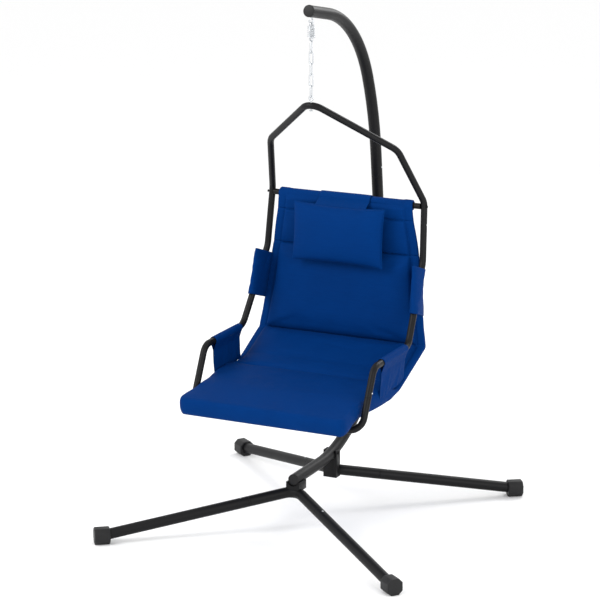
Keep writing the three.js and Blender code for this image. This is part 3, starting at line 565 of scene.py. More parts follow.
class Effects:
    """The shader node groups that several finishes share."""

    def __init__(self) -> None:
        """Builds each group once."""
        self.weave = self._weave()
        self.grain = self._grain()
        self.patina = self._patina()

    @staticmethod
    def _weave() -> bpy.types.NodeTree:
        """Plain weave: warp and weft ridges that pass over and under each other, with slubs.

        Height = |sin(pi u)| where the warp is on top and |sin(pi v)| where the weft is, in a chequer.
        """
        tree = new_group(
            "plain_weave",
            {"Place": ("NodeSocketVector", 0.0), "Threads": ("NodeSocketFloat", 900.0)},
            {"Height": "NodeSocketFloat", "Thread": "NodeSocketFloat", "Slub": "NodeSocketFloat"},
        )
        sketch = NodeSketch(tree)
        given, found = tree.nodes["given"], tree.nodes["found"]
        scaled = sketch.add("ShaderNodeVectorMath", operation="SCALE")
        sketch.join(given.outputs["Place"], scaled.inputs[0])
        sketch.join(given.outputs["Threads"], scaled.inputs["Scale"])
        parts = sketch.add("ShaderNodeSeparateXYZ")
        sketch.join(scaled.outputs[0], parts.inputs[0])
        across, along = parts.outputs[0], parts.outputs[1]
        warp = sketch.math("ABSOLUTE", sketch.math("SINE", sketch.math("MULTIPLY", across, math.pi)))
        weft = sketch.math("ABSOLUTE", sketch.math("SINE", sketch.math("MULTIPLY", along, math.pi)))
        cell = sketch.math("ADD", sketch.math("FLOOR", across), sketch.math("FLOOR", along))
        on_top = sketch.math("ABSOLUTE", sketch.math("MODULO", cell, 2.0))
        over = sketch.math("MULTIPLY", warp, on_top)
        under = sketch.math("MULTIPLY", weft, sketch.math("SUBTRACT", 1.0, on_top))
        sketch.join(sketch.math("ADD", over, under), found.inputs["Height"])
        sketch.join(on_top, found.inputs["Thread"])
        slub = sketch.add("ShaderNodeTexNoise", in_scale=0.02, in_detail=3.0)
        stretch = sketch.add("ShaderNodeVectorMath", operation="MULTIPLY")
        stretch.inputs[1].default_value = (1.0, 9.0, 1.0)
        sketch.join(scaled.outputs[0], stretch.inputs[0])
        sketch.join(stretch.outputs[0], slub.inputs["Vector"])
        sketch.join(slub.outputs["Fac"], found.inputs["Slub"])
        return tree

    @staticmethod
    def _grain() -> bpy.types.NodeTree:
        """Fine orange-peel grain of a baked or moulded skin, from two sizes of noise."""
        tree = new_group(
            "fine_grain",
            {"Place": ("NodeSocketVector", 0.0), "Size": ("NodeSocketFloat", 700.0)},
            {"Height": "NodeSocketFloat", "Speckle": "NodeSocketFloat"},
        )
        sketch = NodeSketch(tree)
        given, found = tree.nodes["given"], tree.nodes["found"]
        coarse = sketch.add("ShaderNodeTexNoise", in_detail=2.0, in_roughness=0.6)
        fine = sketch.add("ShaderNodeTexVoronoi")
        for node in (coarse, fine):
            sketch.join(given.outputs["Place"], node.inputs["Vector"])
            sketch.join(given.outputs["Size"], node.inputs["Scale"])
        mixed = sketch.math("ADD", sketch.math("MULTIPLY", coarse.outputs["Fac"], 0.7),
                            sketch.math("MULTIPLY", fine.outputs["Distance"], 0.3))
        sketch.join(mixed, found.inputs["Height"])
        sketch.join(coarse.outputs["Fac"], found.inputs["Speckle"])
        return tree

    @staticmethod
    def _patina() -> bpy.types.NodeTree:
        """Handling marks and dust: a broad cloudy mask and a mask of thin scuffs."""
        tree = new_group(
            "handling",
            {"Place": ("NodeSocketVector", 0.0), "Breadth": ("NodeSocketFloat", 6.0)},
            {"Cloud": "NodeSocketFloat", "Scuff": "NodeSocketFloat"},
        )
        sketch = NodeSketch(tree)
        given, found = tree.nodes["given"], tree.nodes["found"]
        cloud = sketch.add("ShaderNodeTexNoise", in_detail=4.0)
        sketch.join(given.outputs["Place"], cloud.inputs["Vector"])
        sketch.join(given.outputs["Breadth"], cloud.inputs["Scale"])
        sketch.join(cloud.outputs["Fac"], found.inputs["Cloud"])
        streaks = sketch.add("ShaderNodeTexNoise", in_detail=5.0, in_distortion=0.6)
        sketch.join(given.outputs["Place"], streaks.inputs["Vector"])
        sketch.join(sketch.math("MULTIPLY", given.outputs["Breadth"], 14.0), streaks.inputs["Scale"])
        thin = sketch.add("ShaderNodeMapRange", in_from_min=0.66, in_from_max=0.74)
        sketch.join(streaks.outputs["Fac"], thin.inputs["Value"])
        sketch.join(thin.outputs["Result"], found.inputs["Scuff"])
        return tree


@dataclass(frozen=True)
class Finish:
    """What every finish has: a name, a slot and its colours."""

    name: str
    slot: Slot
    colour: tuple[float, float, float]
    light: tuple[float, float, float]
    roughness: float

    def _start(self, uses_chart: bool) -> tuple[bpy.types.Material, NodeSketch, bpy.types.Node,
                                                bpy.types.NodeSocket]:
        """Makes the material and returns it with its sketch, its shader and the place on the surface."""
        material = bpy.data.materials.new(self.name)
        material.use_nodes = True
        sketch = NodeSketch(material.node_tree)
        shader = material.node_tree.nodes["Principled BSDF"]
        place = sketch.add("ShaderNodeTexCoord").outputs["UV" if uses_chart else "Object"]
        return material, sketch, shader, place

    @staticmethod
    def _group(sketch: NodeSketch, tree: bpy.types.NodeTree, place: bpy.types.NodeSocket,
               **values: float) -> bpy.types.Node:
        """Adds a node group, gives it the place and sets its named numbers."""
        node = sketch.add("ShaderNodeGroup", node_tree=tree)
        sketch.join(place, node.inputs["Place"])
        for name, value in values.items():
            node.inputs[name].default_value = value
        return node

    @staticmethod
    def _bump(sketch: NodeSketch, shader: bpy.types.Node, height: bpy.types.NodeSocket, depth: float,
              strength: float) -> None:
        """Gives the shader a bump of that depth in metres."""
        bump = sketch.add("ShaderNodeBump", in_strength=strength, in_distance=depth)
        sketch.join(height, bump.inputs["Height"])
        sketch.join(bump.outputs[0], shader.inputs["Normal"])


@dataclass(frozen=True)
class ClothFinish(Finish):
    """Woven polyester: ridged threads, paler slubs, a soft sheen and faint clouds where it is handled."""

    threads: float = 900.0

    def build(self, effects: Effects) -> bpy.types.Material:
        """Builds the material: weave in the chart's metres, clouds in the object's space."""
        material, sketch, shader, chart = self._start(True)
        weave = self._group(sketch, effects.weave, chart, Threads=self.threads)
        space = sketch.add("ShaderNodeTexCoord").outputs["Object"]
        marks = self._group(sketch, effects.patina, space, Breadth=7.0)
        thread_tone = sketch.math("MULTIPLY", weave.outputs["Thread"], 0.18)
        slub_tone = sketch.math("MULTIPLY", weave.outputs["Slub"], 0.45)
        cloud_tone = sketch.math("MULTIPLY", marks.outputs["Cloud"], 0.45)
        share = sketch.math("ADD", thread_tone, sketch.math("ADD", slub_tone, cloud_tone))
        sketch.join(sketch.mix(share, self.colour, self.light), shader.inputs["Base Color"])
        rough = sketch.math("ADD", self.roughness - 0.06,
                            sketch.math("MULTIPLY", marks.outputs["Cloud"], 0.12))
        sketch.join(rough, shader.inputs["Roughness"])
        height = sketch.math("ADD", weave.outputs["Height"],
                             sketch.math("MULTIPLY", weave.outputs["Slub"], 0.5))
        self._bump(sketch, shader, height, 0.00025, 0.35)
        shader.inputs["Sheen Weight"].default_value = 0.01
        shader.inputs["Sheen Roughness"].default_value = 0.45
        shader.inputs["Sheen Tint"].default_value = (0.25, 0.42, 0.9, 1.0)
        shader.inputs["Specular IOR Level"].default_value = 0.025
        return material


@dataclass(frozen=True)
class CoatFinish(Finish):
    """Baked powder coat or moulded plastic: orange-peel grain, cloudy gloss and pale scuffs."""

    grain: float = 700.0
    depth: float = 0.00012
    gloss: float = 0.5

    def build(self, effects: Effects) -> bpy.types.Material:
        """Builds the material in the object's space."""
        material, sketch, shader, place = self._start(False)
        grain = self._group(sketch, effects.grain, place, Size=self.grain)
        marks = self._group(sketch, effects.patina, place, Breadth=9.0)
        tone = sketch.math("MULTIPLY", grain.outputs["Speckle"], 0.35)
        share = sketch.math("ADD", tone, sketch.math("MULTIPLY", marks.outputs["Scuff"], 0.3))
        sketch.join(sketch.mix(share, self.colour, self.light), shader.inputs["Base Color"])
        cloud = sketch.math("MULTIPLY", marks.outputs["Cloud"], 0.16)
        rough = sketch.math("ADD", sketch.math("ADD", cloud, self.roughness - 0.08),
                            sketch.math("MULTIPLY", marks.outputs["Scuff"], 0.08))
        sketch.join(rough, shader.inputs["Roughness"])
        self._bump(sketch, shader, grain.outputs["Height"], self.depth, 0.4)
        shader.inputs["Specular IOR Level"].default_value = self.gloss
        return material


@dataclass(frozen=True)
class ZincFinish(Finish):
    """Bright zinc plate: nearly a mirror, with cloudy spangle and a little grey wear."""

    def build(self, effects: Effects) -> bpy.types.Material:
        """Builds the material in the object's space."""
        material, sketch, shader, place = self._start(False)
        grain = self._group(sketch, effects.grain, place, Size=420.0)
        marks = self._group(sketch, effects.patina, place, Breadth=40.0)
        sketch.join(sketch.mix(marks.outputs["Cloud"], self.colour, self.light), shader.inputs["Base Color"])
        rough = sketch.math("ADD", self.roughness, sketch.math("MULTIPLY", grain.outputs["Speckle"], 0.16))
        sketch.join(rough, shader.inputs["Roughness"])
        self._bump(sketch, shader, grain.outputs["Height"], 0.0001, 0.25)
        shader.inputs["Metallic"].default_value = 1.0
        return material


class Finishes:
    """Every material of the chair, built once."""

    def __init__(self) -> None:
        """Builds the shared effects and then the materials."""
        effects = Effects()
        self.cloth = ClothFinish("royal_blue_cloth", Slot.CLOTH, (0.0, 0.0185, 0.100),
                                 (0.0002, 0.031, 0.162), 0.64).build(effects)
        self.binding = ClothFinish("royal_blue_binding", Slot.CLOTH, (0.0, 0.0195, 0.104),
                                   (0.0002, 0.033, 0.168), 0.62, 1400.0).build(effects)
        self.coat = CoatFinish("charcoal_powder_coat", Slot.POWDER_COAT, (0.0035, 0.0035, 0.004),
                               (0.010, 0.010, 0.011), 0.44, 800.0, 0.00012, 0.17).build(effects)
        self.plastic = CoatFinish("black_moulded_plastic", Slot.PLASTIC, (0.005, 0.005, 0.0055),
                                  (0.014, 0.014, 0.015), 0.52, 500.0, 0.0002, 0.3).build(effects)
        self.zinc = ZincFinish("bright_zinc", Slot.ZINC, (0.5, 0.52, 0.54), (0.78, 0.8, 0.82),
                               0.2).build(effects)
        self.by_slot = {
            Slot.POWDER_COAT: self.coat, Slot.ZINC: self.zinc, Slot.PLASTIC: self.plastic,
            Slot.CLOTH: self.cloth,
        }


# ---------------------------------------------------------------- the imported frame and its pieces


class Workshop:
    """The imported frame, the finishes and the steps that every piece goes through."""

    def __init__(self) -> None:
        """Loads the frame and reads the places that the joints give."""
        self.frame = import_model()
        low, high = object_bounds()
        self.cad_box = [list(low), list(high)]
        self.finishes = Finishes()
        joints = {joint["name"]: joint for joint in self.frame["joints"]}
        self.eye = np.array(joints["swing_fore_aft"]["pos_m"], float)
        self.chain_top = np.array(joints["swing_sideways"]["pos_m"], float)
        self.hang = np.array(joints["seat_tilt"]["pos_m"], float)
        self.axis_y = float(self.eye[1])
        self.count = 0

    def from_axis(self, x: float, y: float, z: float) -> np.ndarray:
        """A point given from the hanging axis and the floor, in the frame."""
        return np.array([x, y + self.axis_y, z])

    def below(self, x: float, y: float, depth: float) -> np.ndarray:
        """A point given from the hanging point, with its depth below it."""
        return self.hang + np.array([x, y, -depth])

    def dress(self, piece: bpy.types.Object, body: str, slot: Slot, nodes: Sequence[str] = (),
              material: bpy.types.Material | None = None) -> bpy.types.Object:
        """Gives a piece its material, the slot's own unless one is given, and its body, and hides the nodes
        it stands for.
        """
        piece.data.materials.clear()
        piece.data.materials.append(material or self.finishes.by_slot[slot])
        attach(piece, body)
        if nodes:
            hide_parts(*nodes)
        self.count += 1
        LOG.info("%s: %d faces on %s", piece.name, len(piece.data.polygons), body)
        return piece

    def dress_nodes(self, names: Sequence[str], slot: Slot, edge: float = 0.0008) -> None:
        """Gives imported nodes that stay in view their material, rounded edges and smooth shading."""
        for name in names:
            node = self.frame["nodes"][name]
            node.data.materials.clear()
            node.data.materials.append(self.finishes.by_slot[slot])
            node.data.polygons.foreach_set("use_smooth", np.ones(len(node.data.polygons), bool))
            weld = node.modifiers.new("weld", "WELD")
            weld.merge_threshold = 1e-5
            bevel = node.modifiers.new("edges", "BEVEL")
            bevel.width = edge
            bevel.segments = 2
            bevel.limit_method = "ANGLE"
            bevel.angle_limit = math.radians(28.0)
            bevel.harden_normals = True
            self.count += 1


# ---------------------------------------------------------------- stand


@dataclass
class SteelStand:
    """The C-shaped arm in three tubes, two V-shaped hubs, four legs, brackets, plugs and feet."""

    shop: Workshop
    arm_radius: float = 0.0215
    arm_wall: float = 0.0015
    arm_height: float = 0.2023
    arm_runs: tuple[float, ...] = (0.217, 0.466, 0.1615)
    arm_bends: tuple[tuple[float, float], ...] = ((0.561, 96.8), (1.151, 16.2), (0.479, 56.1))
    eye_inset: float = 0.0165
    joint_inset: float = 0.015
    spigot: float = 0.070
    leg_radius: float = 0.020
    leg_wall: float = 0.0016
    hub_bend: float = 0.060
    hub_arm: float = 0.180
    foot_insert: float = 0.014
    foot_half: float = 0.030
    front_hub: tuple[float, float, float, float] = (0.020, 0.0463, 0.578, -0.437)
    rear_hub: tuple[float, float, float, float] = (0.339, 0.0593, 0.585, 0.402)

    def arm_path(self) -> BentPath:
        """The arm's centreline, laid from its lower end and moved so that its eye is on the hanging axis."""
        (first, turn_one), (second, turn_two), (third, turn_three) = self.arm_bends
        flat, back, tip = self.arm_runs
        path = BentPath((0.0, 0.0, self.arm_height), Y_AXIS).straight(flat).bend(first, turn_one, X_AXIS)
        path.straight(back).bend(second, turn_two, X_AXIS).bend(third, turn_three, X_AXIS).straight(tip)
        eye, _ = path.place(np.array([path.length - self.eye_inset]))
        shift = np.array([0.0, self.shop.axis_y - eye[0][1], 0.0])
        for run in path.runs:
            run.origin = run.origin + shift
        path.end = path.end + shift
        self.arm_start_y = shift[1]
        return path

    def build_arm(self) -> None:
        """Builds the arm's three tubes."""
        path = self.arm_path()
        back = path.runs[2]
        joints = (back.start + self.joint_inset, back.start + back.length - self.spigot - self.joint_inset)
        spans = {
            "arm_lower_tube": (0.0, joints[0] - 0.0004),
            "arm_middle_tube": (joints[0], joints[1] - 0.0004),
            "arm_upper_tube": (joints[1], path.length),
        }
        for name, (low, high) in spans.items():
            tube = Tube(path, low, high, self.arm_radius, self.arm_wall, X_AXIS, 56)
            self.shop.dress(make_piece(f"{name}_coated", [tube.surface()]), "stand", Slot.POWDER_COAT, [name])

    def build_base(self) -> None:
        """Builds both hubs with their legs."""
        for end, (behind, below, spread_x, spread_y) in {"front": self.front_hub,
                                                         "rear": self.rear_hub}.items():
            corner = np.array([0.0, self.arm_start_y + behind, self.arm_height - below])
            feet = [np.array([side * spread_x, corner[1] + spread_y, self.foot_half]) for side in (-1.0, 1.0)]
            tips = [foot + unit(foot - corner) * self.foot_insert for foot in feet]
            path = BentPath.through([tips[0], corner, tips[1]], [self.hub_bend])
            reach = float(np.linalg.norm(tips[0] - corner)) - self.hub_arm
            spans = {
                f"{end}_left_leg": (0.0, reach - 0.0004),
                f"{end}_hub_tube": (reach, path.length - reach),
                f"{end}_right_leg": (path.length - reach + 0.0004, path.length),
            }
            for name, (low, high) in spans.items():
                tube = Tube(path, low, high, self.leg_radius, self.leg_wall, Z_AXIS, 48, 0.0009)
                self.shop.dress(make_piece(f"{name}_coated", [tube.surface()]), "stand", Slot.POWDER_COAT,
                                [name])

    def dress_fittings(self) -> None:
        """Dresses the brackets, bolts, plugs, feet and snap buttons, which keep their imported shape."""
        corners = [f"{end}_{side}" for end in ("front", "rear") for side in ("left", "right")]
        self.shop.dress_nodes(["saddle_bracket", "cradle_bracket", "saddle_bolt", "cradle_bolt",
                               "cradle_nut"], Slot.POWDER_COAT)
        self.shop.dress_nodes(["arm_bottom_plug", "arm_top_plug"], Slot.PLASTIC, 0.0012)
        self.shop.dress_nodes([f"{corner}_foot" for corner in corners], Slot.PLASTIC, 0.0018)
        buttons = ["arm_lower_snap_button",
                   "arm_upper_snap_button"] + [f"{corner}_leg_snap_button" for corner in corners]
        self.shop.dress_nodes([*buttons, "saddle_nut", "arm_eye_nut"], Slot.ZINC, 0.0004)

    def build(self) -> None:
        """Builds the whole stand."""
        self.build_arm()
        self.build_base()
        self.dress_fittings()


# ---------------------------------------------------------------- suspension


@dataclass
class Suspension:
    """The eye bolts, the spring with its two draw wires, and the chain."""

    shop: Workshop
    eye_radius: float = 0.008
    eye_wire: float = 0.003
    draw_wire: float = 0.002
    draw_half: float = 0.006
    draw_hook: float = 0.0125
    coil_radius: float = 0.0125
    coil_wire: float = 0.002
    coil_turns: int = 6
    coil_height: float = 0.041
    coil_below: float = 0.009
    link_wire: float = 0.0025
    link_length: float = 0.046
    link_width: float = 0.014
    links: int = 5
    play: float = 0.0005

    def eye_bolt(self, name: str, body: str, wire_z: float, up: float, shank: float,
                 ring_side: float) -> None:
        """A ring on a threaded shank with a collar.

        Args:
            name: the node that it stands for.
            body: the body that it rides on.
            wire_z: the height of the wire that carries the load.
            up: 1 where the shank points up and -1 where it points down.
            shank: the shank's length past the ring.
            ring_side: 1 where the ring's centre is above the loaded wire and -1 where it is below.
        """
        centre = self.shop.from_axis(0.0, 0.0, wire_z + ring_side * self.eye_radius)
        ring = closed_rod(circle_path(centre, self.eye_radius, Y_AXIS, X_AXIS), self.eye_wire, Y_AXIS, 20,
                          9.0)
        axis = Z_AXIS * up
        pitch = 0.0011
        turns = int(shank / pitch)
        crests = np.arange(turns * 2)
        profile = [(self.eye_wire * 0.2, 0.0)]
        profile += [(self.eye_wire - (0.00035 if k % 2 else 0.0),
                     0.002 + k * pitch / 2) for k in crests.tolist()]
        profile += [(self.eye_wire * 0.6, 0.0026 + turns * pitch)]
        stem = turned_surface(profile, centre + axis * self.eye_radius, axis, 20)
        sheets = [ring, stem]
        if name == "arm_eye_bolt":
            edge = self.eye_wire + 0.002
            base = centre + axis * (self.eye_radius + self.eye_wire - 0.0006)
            sheets.append(turned_surface([(edge - 0.0005, 0.0), (edge, 0.0004), (edge, 0.0015),
                                          (edge - 0.0005, 0.0019)], base, axis))
        self.shop.dress(make_piece(f"{name}_plated", sheets), body, Slot.ZINC, [name])

    def draw_wire_piece(self, name: str, body: str, arc: float, tail: float, across: np.ndarray) -> None:
        """A U-shaped wire whose arc is at one height and whose outward hooks are at another."""

        def corner(side: float, z: float, reach: float) -> np.ndarray:
            """One of the wire's corners, on one side of its middle."""
            return self.shop.from_axis(*(across * side * reach)[:2], z)

        path = BentPath.through(
            [corner(-1, tail, self.draw_hook), corner(-1, tail, self.draw_half),
             corner(-1, arc, self.draw_half),
             corner(1, arc, self.draw_half), corner(1, tail, self.draw_half),
             corner(1, tail, self.draw_hook)],
            [0.0026, 0.00599, 0.00599, 0.0026],
        )
        upright = np.cross(across, Z_AXIS)
        piece = make_piece(f"{name}_plated", [rod_surface(path, self.draw_wire, upright, 16, 9.0)])
        self.shop.dress(piece, body, Slot.ZINC, [name])

    def build_coil(self, bottom: float) -> None:
        """The coil: a wire along a helix whose end turns are closed.

        Formula: the point at t turns is (R cos 2 pi t, R sin 2 pi t, z(t)), where z climbs by the closed
        pitch in the first and last turns and by the open pitch between them.
        """
        closed = 2 * self.coil_wire + 0.0004
        open_turns = self.coil_turns - 2
        turns = np.linspace(0.0, self.coil_turns, self.coil_turns * 40 + 1)
        opened = np.clip(turns - 1.0, 0.0, open_turns)
        pitch = (self.coil_height - 2 * closed) / open_turns
        height = bottom + closed * (turns - opened) + pitch * opened
        angle = math.tau * turns
        out = np.stack([np.cos(angle), np.sin(angle), np.zeros_like(angle)], axis=1)
        centre = self.shop.from_axis(0.0, 0.0, 0.0) + out * self.coil_radius + height[:, None] * Z_AXIS
        forward = unit(np.gradient(centre, axis=0))
        other = np.cross(forward, out)
        around = math.tau * np.arange(16) / 16
        ring = np.cos(around)[None, :, None] * out[:, None] + np.sin(around)[None, :, None] * other[:, None]
        grid = centre[:, None] + self.coil_wire * ring
        piece = make_piece("coil_spring_plated", [Sheet(grid, poles=True)])
        self.shop.dress(piece, "spring_top", Slot.ZINC, ["coil_spring"])
        base = self.shop.from_axis(0.0, 0.0, bottom - self.coil_wire)
        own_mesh(piece)

    def build_link(self, index: int, crown: float) -> None:
        """One chain link: a wire round a path with two half circles and two straight legs."""
        across = Y_AXIS if index % 2 else X_AXIS
        half = self.link_width / 2
        leg = self.link_length - self.link_width
        start = self.shop.from_axis(0.0, 0.0, crown - self.link_length / 2) + across * half
        normal = np.cross(Z_AXIS, across) * -1.0
        path = BentPath(start, Z_AXIS).straight(leg / 2).bend(half, 180.0, normal)
        path.straight(leg).bend(half, 180.0, normal).straight(leg / 2)
        piece = make_piece(f"chain_link_{index}_plated", [closed_rod(path, self.link_wire, normal, 18, 9.0)])
        self.shop.dress(piece, f"link_{index}", Slot.ZINC, [f"chain_link_{index}"])

    def build(self) -> None:
        """Builds the suspension from the arm's eye down to the hanger's eye."""
        wire_z = float(self.shop.eye[2])
        self.eye_bolt("arm_eye_bolt", "stand", wire_z, 1.0, 0.030, 1.0)
        coil_top = wire_z - self.coil_below
        coil_bottom = coil_top - self.coil_height
        drop = self.coil_wire + self.draw_wire + self.play
        upper_arc = wire_z + self.eye_wire + self.draw_wire + self.play
        lower_arc = coil_bottom - drop - 0.0105
        self.draw_wire_piece("spring_upper_wire", "spring_top", upper_arc, coil_bottom - drop, Y_AXIS)
        self.draw_wire_piece("spring_lower_wire", "spring_bottom", lower_arc, coil_top + drop, X_AXIS)
        self.build_coil(coil_bottom)
        crown = float(self.shop.chain_top[2])
        for index in range(1, self.links + 1):
            self.build_link(index, crown)
            crown -= self.link_length - 2 * self.link_wire - self.play
        self.eye_bolt("hanger_eye_bolt", "seat", float(self.shop.hang[2]), -1.0, 0.034, -1.0)
        self.shop.dress_nodes(["hanger_eye_nut"], Slot.ZINC, 0.0004)


# ---------------------------------------------------------------- seat frame


@dataclass
class SeatFrame:
    """The hanger, the two side tubes with their armrests, the seat bar and the bar across the back."""

    shop: Workshop
    radius: float = 0.0125
    wall: float = 0.0012
    apex: tuple[float, float] = (-0.015, 0.019)
    shoulder: tuple[float, float, float] = (0.258, 0.190, 0.211)
    elbow: tuple[float, float, float] = (0.312, 0.317, 0.425)
    knee: tuple[float, float, float] = (0.3205, 0.290, 0.645)
    armrest_x: float = 0.340
    armrest_front: float = -0.190
    armrest_back: float = 0.114
    armrest_depth: float = 0.922
    seat_bar: tuple[float, float] = (-0.2945, 1.133)
    bends: tuple[float, ...] = (0.050, 0.080, 0.055, 0.070, 0.055, 0.050, 0.050)
    upper_joint: float = 0.062
    lower_joint: float = 0.115
    spigot: float = 0.042
    back_bar: tuple[float, float, float, float] = (0.309, 0.439, 0.011, 0.0012)

    def corner(self, x: float, y: float, depth: float, side: float = 1.0) -> np.ndarray:
        """A corner of the frame on one side."""
        return self.shop.below(side * x, y, depth)

    def build(self) -> None:
        """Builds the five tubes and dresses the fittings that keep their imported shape."""
        apex_bend, shoulder_bend, elbow_bend, knee_bend, rear_bend, front_bend, bar_bend = self.bends
        ends = {}
        for side in (1.0, -1.0):
            elbow = self.corner(*self.elbow, side)
            knee = self.corner(*self.knee, side)
            back = self.corner(self.armrest_x, self.armrest_back, self.armrest_depth, side)
            front = self.corner(self.armrest_x, self.armrest_front, self.armrest_depth, side)
            seat = self.corner(self.armrest_x, *self.seat_bar, side)
            upper = elbow + unit(knee - elbow) * self.upper_joint
            lower = front + unit(seat - front) * self.lower_joint
            ends[side] = (elbow, upper + unit(knee - upper) * self.spigot, seat,
                          lower + unit(front - lower) * self.spigot)
            path = BentPath.through([upper, knee, back, front, lower], [knee_bend, rear_bend, front_bend])
            name = "right_side_tube" if side > 0 else "left_side_tube"
            self.tube(name, path, 0.0004, path.length - 0.0004, X_AXIS)
        apex = self.shop.below(0.0, *self.apex)
        shoulders = [self.corner(*self.shoulder, side) for side in (-1.0, 1.0)]
        hanger = BentPath.through(
            [ends[-1.0][1], ends[-1.0][0], shoulders[0], apex, shoulders[1], ends[1.0][0], ends[1.0][1]],
            [elbow_bend, shoulder_bend, apex_bend, shoulder_bend, elbow_bend],
        )
        self.tube("hanger_tube", hanger, self.spigot, hanger.length - self.spigot, Y_AXIS)
        bar = BentPath.through([ends[-1.0][3], ends[-1.0][2], ends[1.0][2], ends[1.0][3]],
                               [bar_bend, bar_bend])
        self.tube("seat_bar", bar, self.spigot, bar.length - self.spigot,
                  unit(np.array([0.0, 0.895, -0.445])))
        y, depth, radius, wall = self.back_bar
        half = self.elbow[0] - 0.0105
        cross = BentPath.through([self.corner(half, y, depth, -1.0), self.corner(half, y, depth)], [])
        piece = make_piece("back_bar_coated",
                           [Tube(cross, 0.0, cross.length, radius, wall, Z_AXIS, 36).surface()])
        self.shop.dress(piece, "seat", Slot.POWDER_COAT, ["back_bar"])
        sides, joints = ("left", "right"), ("upper", "lower")
        buttons = [f"{side}_{joint}_snap_button" for side in sides for joint in joints]
        self.shop.dress_nodes(buttons, Slot.ZINC, 0.0003)
        self.shop.dress_nodes(["left_back_bar_screw", "right_back_bar_screw"], Slot.POWDER_COAT, 0.0006)

    def tube(self, name: str, path: BentPath, low: float, high: float, upright: np.ndarray) -> None:
        """Builds one tube of the frame."""
        tube = Tube(path, low, high, self.radius, self.wall, upright, 40)
        self.shop.dress(make_piece(f"{name}_coated", [tube.surface()]), "seat", Slot.POWDER_COAT, [name])


# ---------------------------------------------------------------- soft parts


class Inflation:
    """Swells a padded cover with air under Cloth, holding its seams, and caps how far a point may move."""

    def __init__(self, pressure: float, cap: float, frames: int, stiffness: float) -> None:
        """Keeps the settings."""
        self.pressure = pressure
        self.cap = cap
        self.frames = frames
        self.stiffness = stiffness

    def run(self, piece: bpy.types.Object, held: np.ndarray) -> None:
        """Runs the simulation and writes its last shape into the mesh.

        Args:
            piece: the cover, closed.
            held: how firmly each point stays where it is, from 0 to 1.
        """
        group = piece.vertex_groups.new(name="held")
        levels = np.round(held, 1)
        for level in np.unique(levels[levels > 0.0]):
            group.add(np.nonzero(levels == level)[0].tolist(), float(level), "REPLACE")
        cloth = piece.modifiers.new("inflate", "CLOTH")
        settings = cloth.settings
        settings.quality = 4
        settings.mass = 0.25
        settings.tension_stiffness = self.stiffness
        settings.compression_stiffness = self.stiffness
        settings.shear_stiffness = self.stiffness * 0.6
        settings.bending_stiffness = 0.4
        settings.air_damping = 4.0
        settings.use_pressure = True
        settings.uniform_pressure_force = self.pressure
        settings.vertex_group_mass = group.name
        settings.effector_weights.gravity = 0.0
        cloth.collision_settings.use_collision = False
        cloth.point_cache.frame_start = 1
        cloth.point_cache.frame_end = self.frames
        for frame in range(1, self.frames + 1):
            bpy.context.scene.frame_set(frame)
        swelled = piece.evaluated_get(bpy.context.evaluated_depsgraph_get()).to_mesh()
        before = np.zeros(len(piece.data.vertices) * 3, np.float32)
        after = np.zeros_like(before)
        piece.data.vertices.foreach_get("co", before)
        swelled.vertices.foreach_get("co", after)
        move = (after - before).reshape(-1, 3)
        size = np.linalg.norm(move, axis=1, keepdims=True)
        move *= np.tanh(size / self.cap) * self.cap / np.maximum(size, 1e-9)
        piece.evaluated_get(bpy.context.evaluated_depsgraph_get()).to_mesh_clear()
        piece.modifiers.remove(cloth)
        piece.vertex_groups.remove(group)
        piece.data.vertices.foreach_set("co", (before.reshape(-1, 3) + move).ravel())
        piece.data.update()
        bpy.context.scene.frame_set(1)
        LOG.info("%s: inflated, largest move %.1f mm", piece.name, float(size.max()) * 1000)


def smooth_finish(piece: bpy.types.Object) -> None:
    """Rounds a simulated cover with one level of subdivision."""
    level = piece.modifiers.new("round", "SUBSURF")
    level.levels = 1
    level.render_levels = 1


